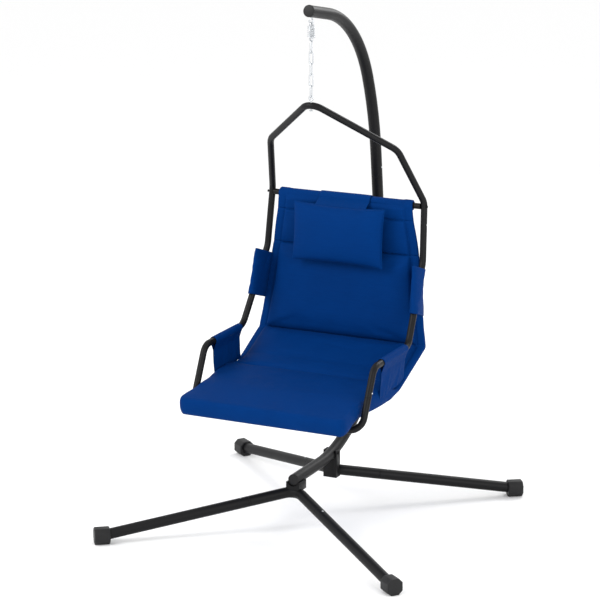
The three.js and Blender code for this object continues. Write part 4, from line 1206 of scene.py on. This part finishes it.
@dataclass
class PaddedSling:
    """The back and seat in one: a sheet down the back and along under the seat, with quilted pads on it."""

    shop: Workshop
    outline: tuple[tuple[float, float], ...] = (
        (0.316, 0.4212), (0.2905, 0.4212), (0.298, 0.4950), (0.306, 0.6268), (0.270, 0.9658), (0.078, 1.0538),
        (-0.020, 1.0918), (-0.265, 1.0978), (-0.425, 1.1240),
    )
    bends: tuple[float, ...] = (0.0172, 0.1, 0.3, 0.012, 0.03, 0.06, 0.3)
    strip: float = 0.033
    strip_thickness: float = 0.009
    hem_thickness: float = 0.0032
    top_pad: float = 0.010
    neck_pad: float = 0.019
    back_pad: float = 0.030
    middle_pad: float = 0.046
    hip_pad: float = 0.066
    seat_pad: float = 0.060
    front_pad: float = 0.066
    band: float = 0.012

    def build(self) -> None:
        """Builds the sling: its two faces, the swelling of its pads, and the seams."""
        corners = [self.shop.below(0.0, y, depth) for y, depth in self.outline]
        path = BentPath.through(corners, list(self.bends))
        end = path.length
        joints = self.seams(path)
        s = self.rows(end, joints)
        points, _ = path.place(s)
        fine = np.arange(0.0, end, 0.004)
        _, fine_headings = path.place(fine)
        slope = np.stack([np.interp(s, fine, smoothed(fine_headings[:, k], 0.004, 0.020)) for k in (1, 2)],
                         axis=1)
        slope = unit(slope)
        normal = np.stack([np.zeros(len(s)), slope[:, 1], -slope[:, 0]], axis=1)
        half = self.half_width(s, end, joints)
        edge = np.array([0.0, 0.0008, 0.0025, 0.0055, 0.0095, 0.0135, 0.0165, 0.0195, 0.024, 0.030, 0.0330,
                         0.0355, 0.040, 0.048, 0.058, 0.070, 0.085, 0.102])
        inner = np.linspace(-1.0, 1.0, 43)[1:-1]
        x = np.concatenate([-(half[:, None] - edge), inner * (half[:, None] - edge[-1]),
                            (half[:, None] - edge)[:, ::-1]], axis=1)
        gap = half[:, None] - np.abs(x)
        top, under = self.heights(s[:, None], x, gap, end, joints)
        base = points[:, None] + x[..., None] * X_AXIS
        front = base + normal[:, None] * top[..., None]
        back = base + normal[:, None] * under[..., None]
        chart = np.stack([x, np.broadcast_to(s[:, None], x.shape)], axis=-1)
        piece = make_piece("padded_sling_cover", [paired(front, back, chart)])
        self.inflate(piece, joints, end)
        smooth_finish(piece)
        self.shop.dress(piece, "seat", Slot.CLOTH, ["padded_sling"])

    def seams(self, path: BentPath) -> dict[str, float]:
        """Distances along the path of its cross seams and of the places where its padding changes."""
        middles = [run.start + run.length / 2 for run in path.runs if run.radius]
        names = ("bar", "neck", "shoulder", "fold", "slope", "hip", "thigh")
        return dict(zip(names, middles))

    def rows(self, end: float, joints: dict[str, float]) -> np.ndarray:
        """Row distances: every 7 mm, closer beside the seams and closest round the front edge."""
        near = np.array([-0.006, -0.003, -0.0012, 0.0, 0.0012, 0.003, 0.006])
        close = np.concatenate([joints[name] + near for name in ("neck", "shoulder", "fold", "hip")])
        tip = end - np.array([0.0, 0.0005, 0.0016, 0.0035, 0.006, 0.009, 0.012, 0.015, 0.0175, 0.020, 0.024,
                              0.030, 0.036])
        head = np.array([0.0, 0.0008, 0.0025, 0.005])
        even = np.arange(0.010, end - 0.040, 0.0066)
        kept = even[np.min(np.abs(even[:, None] - close[None, :]), axis=1) > 0.0022]
        return np.unique(np.concatenate([head, kept, close, tip]))

    def half_width(self, s: np.ndarray, end: float, joints: dict[str, float]) -> np.ndarray:
        """Half width along the path: drawn in between the side tubes, with rounded front corners."""
        knots = [0.0, joints["neck"], joints["shoulder"], joints["fold"], joints["hip"], joints["hip"] + 0.09,
                 joints["thigh"] - 0.06, joints["thigh"] + 0.04, end - 0.06, end]
        widths = [0.272, 0.280, 0.301, 0.346, 0.340, 0.337, 0.3235, 0.3215, 0.331, 0.334]
        fine = np.arange(-0.02, end + 0.02, 0.005)
        eased = smoothed(np.interp(fine, knots, widths), 0.005, 0.012)
        width = np.interp(s, fine, eased)
        rounding = 0.034 * (1.0 - shoulder(end - s, 0.040))
        belly = 0.0030 * np.sin(np.pi * ease(s, joints["shoulder"], joints["fold"]))
        return width - rounding - belly + 0.0012 * ripples(s / 0.21, s * 0.0, 4)

    def heights(self, s: np.ndarray, x: np.ndarray, gap: np.ndarray, end: float,
                joints: dict[str, float]) -> tuple[np.ndarray, np.ndarray]:
        """Heights of the two faces above the path.

        Formula: a pad rises from its seams by quarter-rounds, swell = pad * crown * side * cross, where side
        is measured in from the strip and cross from the cross seams. Over the seat the strips fade out, and
        both faces close on a line at half the pad's height, so that its rim is a rounded band.

        Args:
            s: distances along the path, as a column.
            x: distances from the middle.
            gap: distances in from the sling's edge.
            end: the path's length.
            joints: the named distances along the path.

        Returns:
            The upper and the lower heights.
        """
        seat = ease(s, joints["hip"] - 0.07, joints["hip"] + 0.03)
        strip = self.strip * (1.0 - seat)
        knots = [joints["neck"] - 0.001, joints["neck"] + 0.001, joints["shoulder"] - 0.01,
                 joints["shoulder"] + 0.03,
                 joints["fold"], joints["slope"], joints["hip"], joints["thigh"] - 0.05, end]
        depths = [self.top_pad, self.neck_pad, self.neck_pad, self.back_pad, self.back_pad, self.middle_pad,
                  self.hip_pad, self.seat_pad, self.front_pad]
        pad = np.interp(s, knots, depths) * ease(s, joints["bar"] + 0.012, joints["bar"] + 0.030)
        cross = np.ones_like(x)
        for name, (depth, reach) in {"neck": (0.65, 0.012), "shoulder": (0.85, 0.026), "fold": (0.97, 0.034),
                                     "hip": (0.11, 0.012)}.items():
            away = np.abs(s - joints[name] - 0.0012 * ripples(x / 0.3, s * 0.0, 31))
            cross = cross * (1.0 - depth * (1.0 - shoulder(away, reach)))
        side = shoulder(gap - strip, 0.019)
        rim = shoulder(gap, self.band) * shoulder(end - s, self.band)
        broad = 1.0 - (x / (gap + np.abs(x))) ** 2
        swell = pad * (1.0 + 0.14 * broad * (1.0 - seat)) * cross
        bar, neck = joints["bar"], joints["neck"]
        stiff = (self.strip_thickness - self.hem_thickness) * ease(s, bar + 0.01, neck)
        base = (self.hem_thickness + stiff) * shoulder(gap, 0.003)
        base = base * shoulder(s, 0.003)
        groove = 0.0035 * np.exp(-((gap - strip) / 0.0028) ** 2) * ease(s, bar + 0.02, bar + 0.04)
        thinnest = 0.0012 * shoulder(gap, 0.003) * shoulder(s, 0.003)
        quilted = np.maximum(base - groove, thinnest) + (swell - base * cross * side) * side
        for name in ("neck", "shoulder"):
            quilted = quilted - 0.0034 * np.exp(-((s - joints[name]) / 0.0022) ** 2) * shoulder(gap, 0.004)
        middle = 0.45 * pad
        welt = 0.0016 * (np.exp(-((gap - self.band) / 0.0022) ** 2)
                         + np.exp(-((end - s - self.band) / 0.0022) ** 2))
        ridge = 0.0032 * np.exp(-((s - joints["hip"] - 0.004) / 0.0045) ** 2)
        cushion = middle + (swell + ridge - middle) * rim - welt * seat * (rim > 0.97) + 0.004 * broad * rim
        loose = 0.0017 * ripples(x / 0.34, s / 0.30, 8) + self.creases(s, x, joints)
        soft = (loose + self.puckers(s, x, gap, strip, joints)) * np.where(seat > 0.5, rim, side)
        top = (1.0 - seat) * quilted + seat * cushion + soft
        under = seat * middle * (1.0 - rim)
        last = (gap <= 0.0) | (s >= end) | (s <= 0.0)
        closed = (top + under) / 2
        return np.where(last, closed, top), np.where(last, closed, under)

    @staticmethod
    def puckers(s: np.ndarray, x: np.ndarray, gap: np.ndarray, strip: np.ndarray,
                joints: dict[str, float]) -> np.ndarray:
        """Short gathers that run out from each seam and fade: waves along the seam times a falling share."""
        total = np.zeros_like(x)
        for index, name in enumerate(("neck", "shoulder", "fold", "hip")):
            away = np.abs(s - joints[name])
            total = total + 0.0014 * ripples(x / 0.085, away / 0.5, 50 + index) * np.exp(-away / 0.022)
        aside = np.clip(gap - strip, 0.0, 1.0)
        sides = ripples(s / 0.10 + (x > 0) * 3.7, aside / 0.5, 61)
        return total + 0.0013 * sides * np.exp(-aside / 0.020)

    @staticmethod
    def creases(s: np.ndarray, x: np.ndarray, joints: dict[str, float]) -> np.ndarray:
        """A few long, shallow creases across the back and the seat, each a narrow valley with soft ends."""
        total = np.zeros_like(x)
        picker = np.random.default_rng(17)
        for _ in range(13):
            centre_s = picker.uniform(joints["shoulder"] + 0.05, joints["thigh"] + 0.08)
            centre_x = picker.uniform(-0.2, 0.2)
            tilt = picker.uniform(-0.35, 0.35)
            long, wide = picker.uniform(0.06, 0.16), picker.uniform(0.008, 0.016)
            depth = picker.uniform(0.0008, 0.0020)
            along = (x - centre_x) + tilt * (s - centre_s)
            over = (s - centre_s) - tilt * (x - centre_x)
            total = total - depth * np.exp(-((along / long) ** 2) - (over / wide) ** 2)
        return total

    def inflate(self, piece: bpy.types.Object, joints: dict[str, float], end: float) -> None:
        """Swells the pads a little more, with the seams, the strips and the underside held.

        Formula: a point is held by 1 at a seam, less its distance from it over about 10 mm.
        """
        across, along = places_on_chart(piece).T
        half = self.half_width(along, end, joints)
        gap = half - np.abs(across)
        seat = ease(along, joints["hip"] - 0.07, joints["hip"] + 0.03)
        seams = np.array([joints[name] for name in ("neck", "shoulder", "fold", "hip")])
        away = np.min(np.abs(along[:, None] - seams), axis=1)
        rim = self.strip * (1.0 - seat) + self.band * seat
        held = np.maximum(1.0 - away / 0.012, 1.0 - (gap - rim) / 0.010)
        held = np.clip(np.maximum(held, 1.0 - (end - along - self.band) / 0.010), 0.0, 1.0)
        held[(across > half + 1e-5) | (along < joints["neck"] - 0.01)] = 1.0
        Inflation(1.6, 0.006, 14, 25.0).run(piece, held)


@dataclass
class HeadPillow:
    """The head pillow with its piped edge, and the strap that holds it to the bar across the back."""

    shop: Workshop
    half_width: float = 0.184
    half_height: float = 0.109
    depth: float = 0.561
    y: float = 0.233
    lean: float = 5.0
    front_swell: float = 0.036
    back_swell: float = 0.020
    strap_half: float = 0.105
    bar_y: float = 0.309
    bar_depth: float = 0.439

    def outline(self, columns: int, rows: int) -> tuple[np.ndarray, np.ndarray, np.ndarray, np.ndarray]:
        """Flat places (across, up) of a grid, with sides that pull in between the corners."""
        u = np.sin(np.linspace(-1.0, 1.0, columns) * math.pi / 2 * 0.999)
        v = np.sin(np.linspace(-1.0, 1.0, rows) * math.pi / 2 * 0.999)
        u, v = np.meshgrid(u / u[-1], v / v[-1])
        across = self.half_width * u * (1.0 - 0.030 * (1.0 - v ** 2) * np.abs(u) ** 3)
        up = self.half_height * v * (1.0 - 0.055 * (1.0 - u ** 2) * np.abs(v) ** 3)
        return u, v, across, up

    def frame(self) -> tuple[np.ndarray, np.ndarray, np.ndarray]:
        """The pillow's middle, its upward direction and its forward direction."""
        lean = math.radians(self.lean)
        up = np.array([0.0, math.sin(lean), math.cos(lean)])
        return self.shop.below(0.0, self.y, self.depth), up, np.array([0.0, -math.cos(lean), math.sin(lean)])

    def build(self) -> None:
        """Builds the pillow, its piping and the strap."""
        middle, up, ahead = self.frame()
        u, v, across, rise = self.outline(74, 48)
        round_u = np.sqrt(np.clip(1.0 - np.abs(u) ** 2.6, 0.0, 1.0))
        round_v = np.sqrt(np.clip(1.0 - np.abs(v) ** 2.6, 0.0, 1.0))
        swell = (round_u * round_v) ** 0.85
        at_ends = np.exp(-(1.0 - np.abs(v)) / 0.16) * ripples(u * 3.2, v * 0.4, 71)
        at_sides = np.exp(-(1.0 - np.abs(u)) / 0.12) * ripples(v * 2.4, u * 0.4, 72)
        gather = at_ends + at_sides
        dimples = 0.0016 * gather * np.minimum(round_u, round_v)
        flat = middle + across[..., None] * X_AXIS + rise[..., None] * up
        front = flat + ahead * (self.front_swell * swell + dimples)[..., None]
        back = flat - ahead * (self.back_swell * swell)[..., None]
        chart = np.stack([across, rise], axis=-1)
        piece = make_piece("head_pillow_cover", [paired(front, back, chart)])
        coordinates = np.zeros(len(piece.data.vertices) * 3, np.float32)
        piece.data.vertices.foreach_get("co", coordinates)
        local = coordinates.reshape(-1, 3) - middle
        height = local @ ahead
        edge = np.maximum(np.abs(local[:, 0]) / self.half_width, np.abs(local @ up) / self.half_height)
        held = np.clip(np.maximum((edge - 0.955) / 0.035, (height < -0.004) * 1.0), 0.0, 1.0)
        Inflation(3.0, 0.008, 18, 12.0).run(piece, held)
        smooth_finish(piece)
        self.shop.dress(piece, "headrest", Slot.CLOTH, ["head_pillow"])
        self.build_piping(flat)
        self.build_strap(middle, up)

    def build_piping(self, flat: np.ndarray) -> None:
        """A cord sewn round the pillow's edge."""
        loop = np.concatenate([flat[0, :-1], flat[:-1, -1], flat[-1, :0:-1], flat[:0:-1, 0]])
        smooth = np.stack([smoothed(np.tile(loop[:, k], 3), 1.0,
                                    1.6)[len(loop):2 * len(loop)] for k in range(3)], axis=1)
        heading = unit(np.roll(smooth, -1, axis=0) - np.roll(smooth, 1, axis=0))
        ahead = self.frame()[2]
        side = unit(np.cross(heading, ahead))
        angle = math.tau * np.arange(10) / 10
        facing = np.broadcast_to(ahead, side.shape)[:, None]
        ring = np.cos(angle)[None, :, None] * side[:, None] + np.sin(angle)[None, :, None] * facing
        grid = smooth[:, None] + 0.0022 * ring
        piece = make_piece("head_pillow_piping", [Sheet(grid, loop=True)])
        self.shop.dress(piece, "headrest", Slot.CLOTH, ["head_pillow"], self.shop.finishes.binding)

    def build_strap(self, middle: np.ndarray, up: np.ndarray) -> None:
        """The strap: from behind the bar, over it and down to the pillow's upper edge."""
        bar = self.shop.below(0.0, self.bar_y, self.bar_depth)
        angle = np.radians(np.linspace(20.0, 178.0, 22))
        arc = bar + 0.0219 * (np.cos(angle)[:, None] * Y_AXIS + np.sin(angle)[:, None] * Z_AXIS)
        target = middle + up * (self.half_height - 0.010)
        drop = np.linspace(0.0, 1.0, 14)[1:, None]
        tail = arc[-1] * (1.0 - drop) + target * drop + np.sin(np.pi * drop) * 0.0012 * Y_AXIS
        line = np.concatenate([arc, tail])
        x = np.linspace(-self.strap_half, self.strap_half, 60)
        grid = line[:, None] + x[None, :, None] * X_AXIS
        lift = 0.0005 * ripples(np.linspace(0, 1, len(line))[:, None] * 0.8, x[None] / 0.07, 81)
        piece = make_piece("pillow_strap_cloth", [thick_cloth(grid, 0.0022, lift)])
        smooth_finish(piece)
        self.shop.dress(piece, "headrest", Slot.CLOTH, ["pillow_strap"], self.shop.finishes.binding)


@dataclass
class Covers:
    """The cloth sewn round the frame: sleeves on two bars, loops on the uprights and armrest panels."""

    shop: Workshop
    seat: SeatFrame

    def bar_sleeve(self, name: str, y: float, depth: float, inner: float, half: float, seed: int) -> None:
        """A sleeve sewn round a straight bar, a little uneven, with a flat felled seam under it."""
        thick = 0.0036
        x = np.concatenate([[-half, -half + 0.0006, -half + 0.002],
                            np.linspace(-half + 0.006, half - 0.006, 120),
                            [half - 0.002, half - 0.0006, half]])
        angle = math.tau * np.arange(48) / 48
        wave = 0.00055 * ripples(x[:, None] / 0.09, np.sin(angle)[None] * 0.3, seed)
        hem = 0.0006 * np.exp(-((half - np.abs(x) - 0.012) / 0.0016) ** 2)[:, None]
        felled = 0.0011 * np.exp(-((angle - 1.5 * math.pi) / 0.30) ** 2)[None]
        round_end = (1.0 - shoulder(half - np.abs(x), 0.002))[:, None] * thick * 0.45
        outer = inner + thick - round_end + wave - hem + felled
        inner_wall = inner + round_end + 0.0 * outer
        centre = self.shop.below(0.0, y, depth)
        out = np.cos(angle)[:, None] * Y_AXIS + np.sin(angle)[:, None] * Z_AXIS
        skin = centre + x[:, None, None] * X_AXIS + outer[..., None] * out[None]
        lining = centre + x[::-1][:, None, None] * X_AXIS + inner_wall[::-1][..., None] * out[None]
        grid = np.concatenate([skin, lining])
        girth = math.tau * (inner + thick)
        rows = np.concatenate([x, x[::-1], x[:1]])
        columns = np.arange(49) / 48 * girth
        chart = np.stack(np.meshgrid(columns, rows), axis=-1)
        piece = make_piece(f"{name}_cloth", [Sheet(grid, loop=True, chart=chart)])
        self.shop.dress(piece, "seat", Slot.CLOTH, [name])

    def side_loop(self, side: float) -> None:
        """A loose loop from the sling's edge round an upright, its front fold parallel to the sling's edge.

        Formula: with q the distance from the upright's middle as a share of the way to the fold or to the
        sling, each ply stands off by r (1 - q squared) to the power 0.5 in front and 0.8 behind.
        """
        rows = np.linspace(0.0, 1.0, 40)
        fold = np.stack([0.3225 + 0.0095 * rows, 0.196 - 0.036 * rows, 0.636 + 0.174 * rows], axis=1)
        edge = np.stack([0.3045 + 0.0240 * rows, 0.303 - 0.020 * rows, 0.676 + 0.174 * rows], axis=1)
        knee, back = np.array(self.seat.knee), np.array([self.seat.armrest_x, self.seat.armrest_back,
                                                         self.seat.armrest_depth])
        slope = (back - knee) / (back[2] - knee[2])
        run = edge - fold
        ahead_of_knee = knee[1] - fold[:, 1] + (fold[:, 2] - knee[2]) * slope[1]
        share = ahead_of_knee / (run[:, 1] - run[:, 2] * slope[1])
        share = np.clip(share, 0.10, 0.90)
        centre = fold + run * share[:, None]
        centre[:, 0] = knee[0] + (centre[:, 2] - knee[2]) * slope[0]
        ply = np.sin(np.linspace(-math.pi / 2, math.pi / 2, 61)) * 0.5 + 0.5
        way = np.concatenate([1.0 - ply[:-1], ply])
        hand = np.concatenate([np.ones(60), -np.ones(61)])
        ahead = np.clip((share[:, None] - way) / share[:, None], 0.0, 1.0)
        behind = np.clip((way - share[:, None]) / (1.0 - share[:, None]), 0.0, 1.0)
        stand = 0.0152 * np.where(way < share[:, None], (1.0 - ahead ** 2) ** 0.5, (1.0 - behind ** 2) ** 0.8)
        level = fold[:, None] + run[:, None] * way[None, :, None]
        pull = np.where(way < share[:, None], 1.0 - ahead, 1.0 - behind)
        level[..., 0] += (centre[:, 0] - (fold + run * share[:, None])[:, 0])[:, None] * pull
        level[..., 0] += hand * (stand + 0.0010 * (way > 0.93))
        places = self.shop.hang + level * np.array([side, 1.0, -1.0])
        seed = 91 if side > 0 else 97
        wrinkle = 0.0016 * ripples(rows[:, None] * 0.18 / 0.07, way[None] * 0.7 + hand[None], seed)
        hems = 0.0008 * np.exp(-((np.minimum(rows, 1.0 - rows) * 0.18 - 0.010) / 0.002) ** 2)[:, None]
        name = "right_back_loop" if side > 0 else "left_back_loop"
        piece = make_piece(f"{name}_cloth", [thick_cloth(places, 0.0020,
                                                         (wrinkle - hems) * hand[None] * side * -1.0)])
        smooth_finish(piece)
        self.shop.dress(piece, "seat", Slot.CLOTH, [name])

    def armrest_panel(self, side: float) -> None:
        """A panel folded over an armrest, its two plies sewn together below the tube and down to the seat."""
        y = np.linspace(-0.128, 0.088, 44)
        turn = np.linspace(0.0, 1.0, 26)
        radius = 0.0146
        arc = math.pi * (-0.16 + 1.32 * turn)
        drop = np.interp(y, [-0.128, -0.05, 0.03, 0.088],
                         [1.060, 1.058, 1.052, 1.040]) - self.seat.armrest_depth
        around_x = radius * np.cos(arc)
        around_z = radius * np.sin(arc)
        lean = np.linspace(0.0, 1.0, 26)[1:]
        join = 0.034
        x_rows, z_rows = [], []
        for total in drop:
            fall = around_z[0] - lean * (total + around_z[0])
            pull = np.clip((-fall - 0.004) / join, 0.0, 1.0)
            inner = around_x[-1] * (1.0 - pull) - 0.0011 * pull
            outer = around_x[0] * (1.0 - pull) + 0.0011 * pull
            x_rows.append(np.concatenate([outer[::-1], around_x, inner]))
            z_rows.append(np.concatenate([fall[::-1], around_z, fall]))
        x = np.array(x_rows)
        z = np.array(z_rows)
        ply = np.where(np.arange(x.shape[1]) < x.shape[1] / 2, 1.0, -1.0)[None]
        low = np.clip(-z / 0.13, 0.0, 1.0)
        folds = 0.0042 * ripples(y[:, None] / 0.10 + low * 0.35, z / 0.22, 101 if side > 0 else 107) * low
        inward = -0.006 * low ** 1.5
        places = self.shop.hang + np.stack(
            [side * (self.seat.armrest_x + x + inward + folds), y[:, None] + 0.0 * x,
             z - self.seat.armrest_depth], axis=-1)
        fine = 0.0007 * ripples(y[:, None] / 0.045, z / 0.05, 111) * low * ply
        name = "right_armrest_panel" if side > 0 else "left_armrest_panel"
        piece = make_piece(f"{name}_cloth", [thick_cloth(places, 0.0018, fine)])
        smooth_finish(piece)
        self.shop.dress(piece, "seat", Slot.CLOTH, [name])

    def build(self) -> None:
        """Builds every sewn cover."""
        self.bar_sleeve("back_sleeve", self.seat.back_bar[0], self.seat.back_bar[1], 0.0132, 0.272, 121)
        self.bar_sleeve("seat_sleeve", *self.seat.seat_bar, 0.0130, 0.262, 127)
        for side in (1.0, -1.0):
            self.side_loop(side)
            self.armrest_panel(side)


# ---------------------------------------------------------------- studio


class Studio:
    """A pale floor, soft lights and the camera."""

    def __init__(self, shop: Workshop) -> None:
        """Keeps the workshop for the hanging axis."""
        self.shop = shop

    def floor(self) -> None:
        """A wide pale floor with a plain matt finish."""
        reach = 14.0
        corners = [(-reach, -reach, 0.0), (reach, -reach, 0.0), (reach, reach, 0.0), (-reach, reach, 0.0)]
        mesh = bpy.data.meshes.new("floor")
        mesh.from_pydata(corners, [], [(0, 1, 2, 3)])
        floor = bpy.data.objects.new("floor", mesh)
        bpy.context.scene.collection.objects.link(floor)
        material = bpy.data.materials.new("studio_floor")
        material.use_nodes = True
        shader = material.node_tree.nodes["Principled BSDF"]
        shader.inputs["Base Color"].default_value = (0.93, 0.93, 0.93, 1.0)
        shader.inputs["Roughness"].default_value = 0.9
        shader.inputs["Specular IOR Level"].default_value = 0.1
        mesh.materials.append(material)
        floor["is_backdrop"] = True

    def light(self, name: str, place: Sequence[float], target: Sequence[float], size: float,
              power: float) -> None:
        """A square area light that faces a target."""
        data = bpy.data.lights.new(name, "AREA")
        data.size = size
        data.energy = power
        lamp = bpy.data.objects.new(name, data)
        away = unit(np.asarray(place, float) - np.asarray(target, float))
        lamp.matrix_world = self.pose(np.asarray(place, float), away)
        bpy.context.scene.collection.objects.link(lamp)

    @staticmethod
    def pose(place: np.ndarray, away: np.ndarray) -> Matrix:
        """A pose at a place whose local Z points away from what it faces, with no roll."""
        right = unit(np.cross(Z_AXIS, away))
        top = np.cross(away, right)
        rows = np.stack([right, top, away, place], axis=1)
        return Matrix([list(row) for row in rows] + [[0.0, 0.0, 0.0, 1.0]])

    def camera(self) -> None:
        """The camera: a long lens a little above and to the chair's left."""
        azimuth, elevation, distance = math.radians(25.76), math.radians(14.73), 9.46
        back = np.array([math.sin(azimuth) * math.cos(elevation), -math.cos(azimuth) * math.cos(elevation),
                         math.sin(elevation)])
        right = np.array([math.cos(azimuth), math.sin(azimuth), 0.0])
        target = np.array([0.0, self.shop.axis_y, 1.0]) - 0.040 * right - 0.142 * np.cross(back, right)
        data = bpy.data.cameras.new("camera")
        data.sensor_width = 36.0
        data.lens = 155.4
        data.clip_end = 60.0
        camera = bpy.data.objects.new("camera", data)
        camera.matrix_world = self.pose(target + distance * back, back)
        bpy.context.scene.collection.objects.link(camera)
        bpy.context.scene.camera = camera

    def build(self) -> None:
        """Builds the studio."""
        scene = bpy.context.scene
        scene.view_settings.view_transform = "Standard"
        world = bpy.data.worlds.new("studio")
        world.use_nodes = True
        world.node_tree.nodes["Background"].inputs["Color"].default_value = (1.0, 1.0, 1.0, 1.0)
        world.node_tree.nodes["Background"].inputs["Strength"].default_value = 1.06
        scene.world = world
        self.floor()
        aim = (0.0, 0.0, 0.9)
        self.light("key", (-2.6, -3.4, 3.8), aim, 2.0, 120.0)
        self.light("fill", (3.6, -2.4, 2.2), aim, 2.6, 60.0)
        self.light("rim", (1.0, 3.6, 3.4), aim, 2.0, 70.0)
        self.camera()


def main() -> None:
    """Builds the chair and the studio."""
    logging.basicConfig(level=logging.INFO, format="%(name)s %(message)s")
    shop = Workshop()
    SteelStand(shop).build()
    Suspension(shop).build()
    seat = SeatFrame(shop)
    seat.build()
    PaddedSling(shop).build()
    HeadPillow(shop).build()
    Covers(shop, seat).build()
    Studio(shop).build()
    LOG.info("%d pieces dressed", shop.count)


if __name__ == "__main__":
    main()
